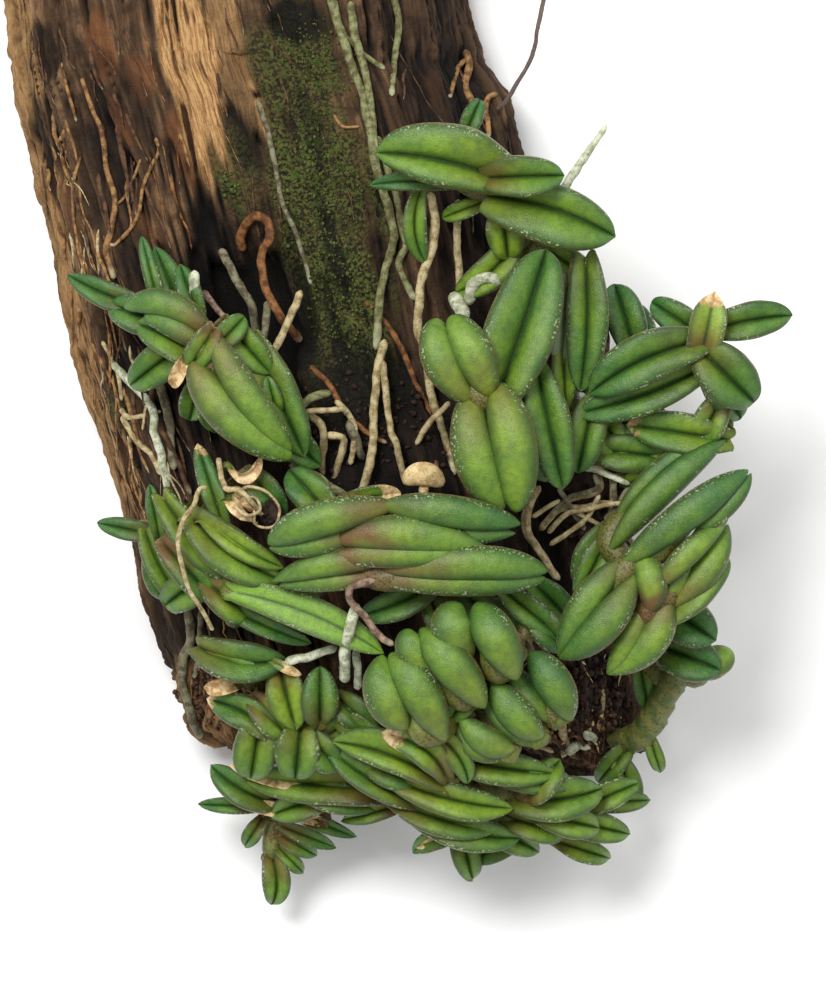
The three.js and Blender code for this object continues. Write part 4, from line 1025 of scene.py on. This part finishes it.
def makeShoots():
    for shoot, parts in shoots.items():
        route, _ = smoothRoute(parts["stem"], 0.7)
        makeStem(shoot + "_stem", parts["stem"], parts.get("radius", stemForm["radius"]), shoot + "_shoot")
        leaves = dict(parts.get("leaves", {}))
        for kind in ("small", "sheath", "dry"):
            leaves.update({f"{kind}_{i + 1}": leaf for i, leaf in enumerate(parts.get(kind, []))})
        for name, own in leaves.items():
            leaf = {**parts.get("usual", {}), **own}
            piece = ringPiece(f"{shoot}_blade_{name}", leafShells(leaf, route), weld=0.004)
            node = f"{shoot}_leaf_{name}".replace("low_left_leaf", "low_leaf")
            settle(piece, leafFinish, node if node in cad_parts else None)


makeShoots()
print("shoots done")

# Aerial roots: a height of None lets the root creep on the wood

roots = {
    "twin_roots": ("green", [
        (2.0, 1.6, [(5.8, 62), (9, 51), (12.2, 41.6), (13.8, 34.8), (15.4, 26.2), (17.6, 19), (18.6, 12),
            (17, 6), (16, 0), (15.2, -10)]),
        (1.7, 1.5, [(10, 60), (11, 53.2), (12.6, 46.8), (14.2, 37.8), (15, 30)]),
    ]),
    "long_cream_root": ("cream", [(1.8, 1.7, [(26, 21.4, 50), (27, 15, 48), (26, 9, 46), (24.4, 4, 45),
        (23.6, -6, 43), (25, -10, 42.4), (26.6, -20), (29.4, -29), (31, -35)])]),
    "white_tip_root": ("white", [(2.6, 1.2, [(45, 13, 47), (50, 18, 51), (54.4, 24.4, 53), (58, 30, 54),
        (61.2, 34.6, 55)])]),
    "orange_root": ("orange", [(1.2, 1.1, [(12.8, -0.2), (18.4, -6.4), (23, -16), (25.6, -21),
        (27.6, -36)])]),
    "branching_root": ("tan", [
        (0.9, 1.4, [(-44, 44.8), (-41.6, 38), (-39.8, 33.6), (-39, 27.4), (-37.4, 21), (-38.2, 14.2),
            (-39, 10), (-37.4, 4.4)]),
        (0.6, 0.6, [(-32, 28.4), (-34.8, 22), (-37.6, 18.6)]),
        (0.8, 0.7, [(-29, 32.6), (-28.4, 29.4), (-31.6, 23.6), (-32.8, 16.8), (-36.8, 11.6),
            (-38.6, 11.4)]),
    ]),
    "curled_root": ("orange", [(1.9, 1.7, [(-11.6, 10, 34), (-12, 13.2, 37), (-9.4, 16.8, 40),
        (-6.8, 16.2, 42), (-6.2, 12.6, 42), (-7.8, 9, 41), (-6.8, 2, 41), (-3.4, -4, 41), (0, -8)])]),
    "left_edge_root": ("white", [(1.6, 1.8, [(-38, -12.4), (-35, -15.6), (-30, -21), (-29.6, -26),
        (-28, -31), (-27, -36), (-26, -43)])]),
    "forked_cream_root": ("cream", [
        (1.7, 1.7, [(17, -7.8, 43), (15.2, -15.8, 43), (14.6, -25.2, 43), (13.6, -34.2, 42.6),
            (11.8, -39.4)]),
        (1.4, 1.4, [(16.6, -12, 43), (17.8, -24.8, 42.6), (19.4, -29.6, 42.4), (21, -36.2)]),
    ]),
    "pinkish_root": ("mauve", [(1.5, 1.4, [(16, -55.4, 60.6), (13, -56.4, 61.6), (10.2, -57.4, 62),
        (10, -60, 60), (13, -63, 58), (16, -67, 57), (18.8, -68.8, 58.6)])]),
    "white_root": ("white", [(2.2, 2.0, [(11, -62.4, 46), (9.6, -67, 45), (9, -72, 43), (9, -76)])]),
    "right_roots": ("cream", [
        (1.5, 1.4, [(56, -29, 34), (57, -33, 40), (61, -34.6, 42), (65.6, -36, 39)]),
        (1.4, 1.2, [(59.4, -34.4, 41.6), (59.6, -38, 40), (53, -40, 39)]),
        (1.2, 1.2, [(62.4, -34.8, 41.6), (62.4, -40, 39), (62, -43, 34)]),
        (1.4, 1.4, [(48, -46, 37), (52, -42, 39), (58, -41.2, 39.6), (65, -40.6, 38)]),
        (1.8, 1.4, [(47, -37, 40), (45.6, -42, 40), (45.4, -46, 39), (49, -52, 38), (51.6, -56, 37)]),
    ]),
    # roots below stand beside the ones that the model holds
    "green_side_root": ("green", [(1.2, 1.0, [(8, 54), (12, 50), (17, 46.4)])]),
    "green_upper_root": ("green", [(1.4, 1.3, [(18.4, 62), (20, 55.2), (18.8, 48.4), (18.4, 41)])]),
    "green_lower_root": ("green", [(1.6, 1.4, [(15.4, 33), (19, 22), (20, 15), (21.4, 11), (20, 7),
        (23, 0)])]),
    "thin_curl_root": ("tan", [(0.6, 0.6, [(6.6, 37.4), (8.4, 34.8), (11.8, 34.8)])]),
    "short_cream_root": ("cream", [(1.6, 1.5, [(31.6, 20, 48), (31.4, 14, 45), (31.4, 9, 42),
        (32, 2, 40)])]),
    "fat_white_root": ("white", [
        (3.0, 2.8, [(30.6, 1, 43), (31.6, -1, 46), (33.4, -4, 47)]),
        (2.4, 2.4, [(33.4, -1, 46), (35, 3, 48), (38, 4.6, 49), (40.4, 3, 48)]),
    ]),
    "side_cream_root": ("cream", [(1.2, 1.1, [(30, -20.4, 44), (25.6, -25, 43.4), (23.2, -29, 42.4)])]),
    "tan_pair_root": ("tan", [
        (1.6, 1.4, [(33.2, 51), (34, 48), (33.2, 44), (34.4, 40.4), (35.6, 35)]),
        (1.0, 0.9, [(33.2, 49), (31.4, 47), (30.8, 44), (30, 41)]),
        (1.2, 1.1, [(39.6, 42), (37.6, 41), (37.4, 38), (37.8, 33)]),
    ]),
    "groove_root": ("grey", [(1.2, 1.0, [(-8.4, 40), (-5.8, 31.6), (-3.6, 20), (-0.4, 12.6), (2.2, 3.2)])]),
    "left_thin_root": ("tan", [
        (0.7, 0.6, [(-44.2, 29), (-45.6, 24), (-45.8, 19), (-44.4, 10), (-42.6, 2)]),
        (0.6, 0.5, [(-33.4, 28), (-35, 22), (-34, 15), (-37, 11.4)]),
        (0.7, 0.6, [(-48, 48), (-46.6, 42), (-45, 36)]),
    ]),
    "white_stub_root": ("white", [(2.3, 2.1, [(-21, 5.8, 50), (-20.8, 1, 48), (-19.6, -4, 43)])]),
    "grey_arch_root": ("grey", [
        (1.8, 1.7, [(-16, 10.4, 38), (-14, 6.4, 41), (-11.6, 2.4, 42), (-10, -1, 41), (-8.8, -7, 36)]),
        (1.6, 1.5, [(-6.4, 0, 39), (-7, -5, 41), (-7.6, -11, 40)]),
    ]),
    "mauve_root": ("mauve", [(1.3, 1.2, [(-19.4, 2, 42), (-16, -3, 44), (-13.6, -5, 44), (-11, -9, 42)])]),
    "cream_tip_root": ("cream", [(1.6, 1.5, [(0.2, 2, 44), (-2, -4, 44), (-4, -8, 43), (-6.4, -12, 41)])]),
    "left_edge_cream_roots": ("cream", [
        (1.2, 0.9, [(-36.4, -21.6), (-34, -23.4), (-28, -22.2)]),
        (0.7, 0.6, [(-31, -20.6), (-31.8, -26)]),
        (1.4, 1.2, [(-36, -23), (-33, -28), (-30, -31), (-28, -35)]),
        (0.9, 0.8, [(-40, -8), (-37, -14), (-36, -20)]),
        (1.9, 1.7, [(-27.6, -56), (-26, -60), (-25, -63)]),
    ]),
    "left_grey_root": ("grey", [(2.0, 1.8, [(-28.6, -16), (-27, -21), (-26, -27), (-25.4, -34)])]),
    "left_brown_root": ("brown", [
        (1.2, 1.1, [(-30, -15), (-29.6, -24), (-27, -28), (-22, -39)]),
        (0.9, 0.8, [(-33, -13), (-33.6, -22), (-31, -30)]),
    ]),
    "curly_cream_root": ("cream", [
        (1.0, 0.9, [(-18.4, -37.4, 56), (-20, -38, 57.6), (-21, -41, 58), (-23, -44, 58), (-24, -48, 57),
            (-23.6, -52, 56.6), (-22.4, -57, 55), (-19, -63, 52), (-17.4, -66, 48)]),
        (1.2, 1.0, [(-16.2, -31.6, 50), (-15, -37.4, 56), (-12, -38, 58), (-9, -41, 57), (-7.6, -43, 54)]),
        (0.7, 0.5, [(-12.4, -38.4, 55), (-9.6, -37.4, 57.4), (-6, -38.8, 57), (-4, -42, 56),
            (-5.4, -45.4, 56), (-8.6, -45, 57), (-9, -42, 57.6)]),
        (0.8, 0.5, [(-13, -41, 56), (-10.4, -43.4, 58), (-8, -42, 58), (-8.6, -39.6, 57.6),
            (-11, -39.6, 57)]),
    ]),
    "low_grey_root": ("grey", [
        (2.0, 1.8, [(-22.8, -62), (-22, -68), (-23.4, -72), (-23.6, -78), (-22, -84), (-20.4, -88)]),
        (1.3, 1.1, [(-20, -62), (-20.4, -70), (-21.6, -76)]),
    ]),
    "arched_cream_roots": ("cream", [
        (1.6, 1.4, [(0.6, -23, 40), (2.4, -23.4, 44), (4.4, -25.4, 44.6), (4.8, -29.6, 42),
            (4.2, -37, 36)]),
        (1.5, 1.4, [(5, -27, 43), (8.4, -27.6, 43.6), (8, -31, 42), (6.6, -36.6, 37)]),
        (1.2, 1.1, [(1, -22.4, 47), (5, -22, 47), (9.4, -21.6, 45)]),
        (1.3, 1.2, [(7, -20, 42), (11, -25, 42), (10, -33, 40)]),
    ]),
    "forked_green_root": ("green", [
        (1.8, 1.6, [(-1, -23, 46), (0.4, -21, 47), (2.8, -19.2, 47), (6.2, -18.6, 45)]),
        (1.8, 1.7, [(-2, -33, 46), (4.2, -36.2, 47), (10.4, -40, 46)]),
    ]),
    "grey_short_root": ("grey", [(2.2, 1.8, [(9.6, -24, 42), (11, -28, 41), (12.6, -32, 38)])]),
    "long_brown_root": ("orange", [(1.2, 1.0, [(2, -13), (5.6, -16.8), (9.4, -22.4), (12.8, -26.2),
        (17.4, -28.6)])]),
    "pale_root": ("white", [
        (2.3, 2.1, [(11.6, -60.6, 57), (10.2, -65, 56), (9, -71, 52), (9, -76.4, 47)]),
        (1.7, 1.5, [(11.2, -70, 48), (11.6, -78, 43)]),
        (1.8, 1.7, [(-3, -72.4, 46), (2, -71, 47), (7.4, -69.4, 47)]),
    ]),
    "right_white_root": ("white", [(1.3, 1.1, [(56.4, -33.4, 46), (60, -34.4, 46), (66, -36.8, 45)])]),
    "right_grey_roots": ("grey", [
        (1.1, 1.0, [(58.8, -34.6, 45), (59.4, -37.6, 44), (54, -39.6, 43), (51, -42, 41)]),
        (1.2, 1.1, [(62.6, -34.8, 45), (63.2, -41, 42)]),
        (1.1, 1.0, [(66, -37.4, 44), (61, -44, 40)]),
        (1.1, 1.0, [(51.6, -37.4, 44), (54.4, -42, 42), (57, -46, 39)]),
    ]),
    "right_cream_roots": ("cream", [
        (1.1, 1.0, [(49.6, -46.6, 40), (54, -42.6, 43), (62, -41, 44), (66, -40.6, 43)]),
        (1.0, 0.9, [(54.6, -42, 43), (61.6, -46, 40)]),
        (1.0, 0.9, [(46.4, -43.4, 42), (52, -40, 43)]),
        (1.4, 1.3, [(48, -37.2, 45), (46.4, -40, 44), (45.6, -44, 43), (47, -49, 41), (52, -56, 38)]),
        (1.1, 1.0, [(50, -49, 40), (57, -44, 42), (60, -39, 43)]),
    ]),
    "upper_mauve_roots": ("mauve", [
        (1.2, 1.1, [(61, -3.4, 45), (61.4, -9, 44), (60.6, -13, 43)]),
        (1.0, 0.9, [(67.4, -5, 47), (67, -9.6, 45)]),
    ]),
    "end_cream_roots": ("cream", [
        (1.2, 1.1, [(44, -86), (47, -89), (51, -91)]),
        (1.9, 1.5, [(52.4, -85), (53.4, -88.6), (52.8, -92)]),
        (1.0, 0.9, [(61, -78), (60.6, -83), (59, -88)]),
    ]),
    "end_white_roots": ("white", [
        (2.2, 1.6, [(57, -87), (59.6, -88.6)]),
        (2.4, 1.8, [(53.6, -91), (56, -89.6), (58.4, -90.2)]),
    ]),
}


def rootRings(startWidth, endWidth, points, seed, sides=10):
    lifted = [(p[0], p[1], p[2]) if len(p) > 2 else (p[0], p[1], onWood(p[0], p[1]) + startWidth * 0.42)
              for p in points]
    places, gone = smoothRoute(lifted, 0.45 if sides > 6 else 1.2)
    share = gone / gone[-1]
    wobble = np.stack([layered(gone / 5, gone * 0 + axis, 500 + seed + axis, 2) for axis in (0, 3, 6)], 1)
    places = places + 0.28 * wobble * np.sin(np.pi * share)[:, None]
    side, out = framesAlong(places)
    angle = turns(sides)
    radius = (startWidth + (endWidth - startWidth) * share)[:, None] / 2
    radius = radius * (1 + 0.13 * layered(gone[:, None] / 1.6, angle * 0.8, 600 + seed, 2))
    endsIn = np.minimum(gone, gone[-1] - gone)[:, None]
    radius = radius * np.minimum(1, np.sqrt((endsIn + 0.03) / (0.5 * startWidth + 0.03)))
    rings = tube(places, side, out, np.cos(angle) * radius, np.sin(angle) * radius)
    return rings, {"gone": np.broadcast_to(share[:, None], radius.shape)}


rootFinishes = {name: makeRootFinish(name) for name in rootTones}


def makeRoots():
    for index, (name, (finish, branches)) in enumerate(roots.items()):
        shells = [rootRings(a, b, points, 7 * index + 3 * i) for i, (a, b, points) in enumerate(branches)]
        piece = ringPiece(name + "_velamen", shells)
        settle(piece, rootFinishes[finish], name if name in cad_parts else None)


makeRoots()
print("roots done")

# Loose growth on the wood: torn fibres, crumbs, moss and a small bracket, and dark crumbs laid as painted
# shade

fibres = {
    "seed": 11,
    "strips": [  # finish, how many, distance from the wood's left edge, top, bottom, length, width
        ("tan", 36, (1, 9), 40, -40, 15, 0.7),
        ("cream", 14, (2, 12), 30, -36, 9, 0.5),
        ("brown", 46, (3, 24), 60, -44, 14, 0.7),
        ("tan", 12, (26, 42), 92, 28, 18, 0.45),
        ("brown", 30, (40, 92), 90, 20, 16, 0.5),
        ("orange", 7, (14, 34), 70, 20, 12, 0.6),
        ("brown", 26, (72, 92), -66, -88, 7, 0.5),
        ("ivory", 22, (74, 92), -70, -88, 6, 0.45),
        ("tan", 12, (2, 16), -60, -86, 10, 0.6),
    ],
}


def makeFibres():
    random = np.random.RandomState(fibres["seed"])
    table = np.array(wood["sections"], float)[::-1].T
    byFinish = {}
    for index, (finish, count, (near, far), top, bottom, length, width) in enumerate(fibres["strips"]):
        for i in range(count):
            y = random.uniform(bottom, top)
            x = np.interp(y, table[0], table[1]) + random.uniform(near, far)
            along = length * random.uniform(0.25, 1.3)
            turn = random.normal(0, 0.16 if length > 8 else 0.6)
            direction = np.array([0.27 * np.cos(turn) + np.sin(turn), -np.cos(turn)])
            points = []
            for share in np.linspace(0, 1, 5):
                px, py = np.array([x, y]) + direction * along * share + random.normal(0, 0.25, 2)
                points.append((px, py, onWood(px, py) + width * (0.2 + 1.6 * random.rand() * share)))
            if min(point[2] for point in points) > 6 and py > -94 and max(p[1] for p in points) < 91:
                thick = width * random.uniform(0.6, 1.4) ** 2
                shell = rootRings(thick, thick * 0.5, points, i % 50 + index, 6)
                byFinish.setdefault(finish, []).append(shell)
    for finish, shells in byFinish.items():
        settle(ringPiece(f"{finish}_fibres", shells), rootFinishes[finish])


crumbs = {
    "seed": 5,
    "heaps": [  # finish, how many, middle, reach, size; a middle without a height lies on the wood
        # the darkest heaps are near-black crumbs laid as painted shade where the wood and roots lie in shadow
        ("shadeFill", 240, (58, -40, 27), (10, 9, 10), 1.8),
        ("shadeFill", 150, (44, -28, 30), (10, 12, 6), 1.8),
        ("shadeFill", 260, (58, -80), (9, 9), 1.3),
        ("brown", 150, (59, -84), (8, 7), 1.0),
        ("orange", 60, (57, -86), (8, 4), 0.9),
        ("ivory", 26, (57, -87), (9, 4), 0.8),
        ("mossGreen", 240, (4, 46), (8, 13), 0.55),
        ("mossGreen", 380, (4, 22), (10, 16), 0.6),
        ("mossGreen", 260, (9, 0), (8, 14), 0.6),
        ("mossGreen", 40, (-14, 23), (2.4, 3), 0.7),
        ("brown", 120, (-20, -80), (6, 8), 1.0),
        ("shadeFill", 160, (14, -26), (18, 12), 1.0),
        ("shadeFill", 70, (-5.4, -43, 51), (2.4, 3.6, 3), 1.0),
    ],
}


def lumpRings(random, sides, rows, least, spread):  # a rough round lump of about 1 mm radius
    turn = turns(sides)[0]
    rings = []
    for tilt in np.linspace(0.08, 0.92, rows) * np.pi:
        wide, high = np.sin(tilt), np.cos(tilt)
        ring = np.stack([wide * np.cos(turn), wide * np.sin(turn), high + 0 * turn], 1)
        rings.append(ring * (least + spread * random.rand(sides, 1)))
    return np.array(rings)


def makeCrumbs():
    random = np.random.RandomState(crumbs["seed"])
    byFinish = {}
    for finish, count, middle, reach, size in crumbs["heaps"]:
        if len(middle) > 2:  # a lump that the grains stick to
            core = lumpRings(random, 16, 9, 0.95, 0.1) * np.array(reach) * 0.85 + middle
            byFinish.setdefault(finish, []).append((core, {"gone": np.zeros(core.shape[:2])}))
        for _ in range(count):
            away = unit(random.normal(size=3)) * (0.84 if len(middle) > 2 else random.rand() ** 0.5)
            x, y = middle[0] + away[0] * reach[0], middle[1] + away[1] * reach[1]
            grain = size * random.uniform(0.5, 1.6)
            if len(middle) > 2:
                z = middle[2] + away[2] * reach[2]
            else:
                z = onWood(x, y) + grain * 0.2
            if z > 5:
                lump = lumpRings(random, 7, 4, 0.75, 0.5)
                rings = lump * random.uniform(0.6, 1.2, 3) * grain / 2 + [x, y, z]
                byFinish.setdefault(finish, []).append((rings, {"gone": np.zeros(rings.shape[:2])}))
    for finish, shells in byFinish.items():
        settle(ringPiece(f"{finish}_crumbs", shells), rootFinishes[finish])


bracket = {  # a small cream bracket that stands between the roots above the centre shoot
    "cap": ((20.8, -36.8, 49.6), (24.6, -34.8, 51), (28.6, -37.2, 49.4), 5.0),
    "inside": np.array([24.6, -40, 50]),
    "stalk": [(24.8, -36.6, 50.4), (25, -39, 49), (25.4, -42, 44)],
}


def makeBracket():
    rings, values = beanRings(bracket["inside"], *bracket["cap"])
    stalk, _ = rootRings(2.0, 1.4, bracket["stalk"], 3)
    shells = [(rings, {"gone": values["across"] * 0.4}), (stalk, {"gone": np.zeros(stalk.shape[:2])})]
    settle(ringPiece("cream_bracket", shells), rootFinishes["ivory"])


makeFibres()
makeCrumbs()
makeBracket()
print("loose growth done")

twig = {
    "route": [(38, 38, 20), (41.4, 40.4, 24), (44, 44.8, 27), (46.4, 49.2, 29), (48.6, 58, 32), (49, 64, 33),
              (48.6, 72, 34)],
    "width": 0.9,
}


def makeTwig():
    f = Finish("dryTwig")
    streaks = f.noise(0.7, 4.0)
    f.set(colour=f.mix(streaks, tone(60, 44, 40), tone(128, 112, 104)), roughness=0.8,
          normal=f.bump(streaks, 0.5, 0.1))
    piece = ringPiece("dry_twig_bark", [rootRings(twig["width"], twig["width"], twig["route"], 91)])
    settle(piece, f.material, "dry_twig")


makeTwig()

# Floor and light

studio = {
    "floorSize": 3000.0,
    "floorTone": tone(250, 250, 249),
    "sky": 0.62,
    "lamps": [  # place, size, strength in watts
        ((-420, 560, 1450), 700, 22),
        ((700, 300, 1300), 700, 4),
    ],
}


def makeStudio():
    half = studio["floorSize"] / 2
    places = [(-half, -half, 0), (half, -half, 0), (half, half, 0), (-half, half, 0)]
    floor = meshFrom("floor", places, [(0, 1, 2, 3)], {})
    f = Finish("paleFloor")
    floorTone = f.mix(f.noise(40, 2.0), studio["floorTone"], tone(247, 247, 246))
    f.set(colour=floorTone, roughness=0.9, specular=0.1)
    floor.data.materials.append(f.material)
    world = bpy.data.worlds.new("softRoom")
    world.use_nodes = True
    world.node_tree.nodes["Background"].inputs["Color"].default_value = (1, 1, 1, 1)
    world.node_tree.nodes["Background"].inputs["Strength"].default_value = studio["sky"]
    bpy.context.scene.world = world
    for index, (place, size, watts) in enumerate(studio["lamps"]):
        data = bpy.data.lights.new(f"lamp_{index}", "AREA")
        data.shape, data.size, data.energy = "DISK", size * mm, watts
        lamp = bpy.data.objects.new(f"lamp_{index}", data)
        lamp.location = Vector(place) * mm
        lamp.rotation_euler = (Vector((20, -30, 40)) * mm - lamp.location).to_track_quat("-Z", "Y").to_euler()
        bpy.context.collection.objects.link(lamp)
    bpy.context.scene.view_settings.view_transform = "Standard"


makeStudio()
print("studio done")
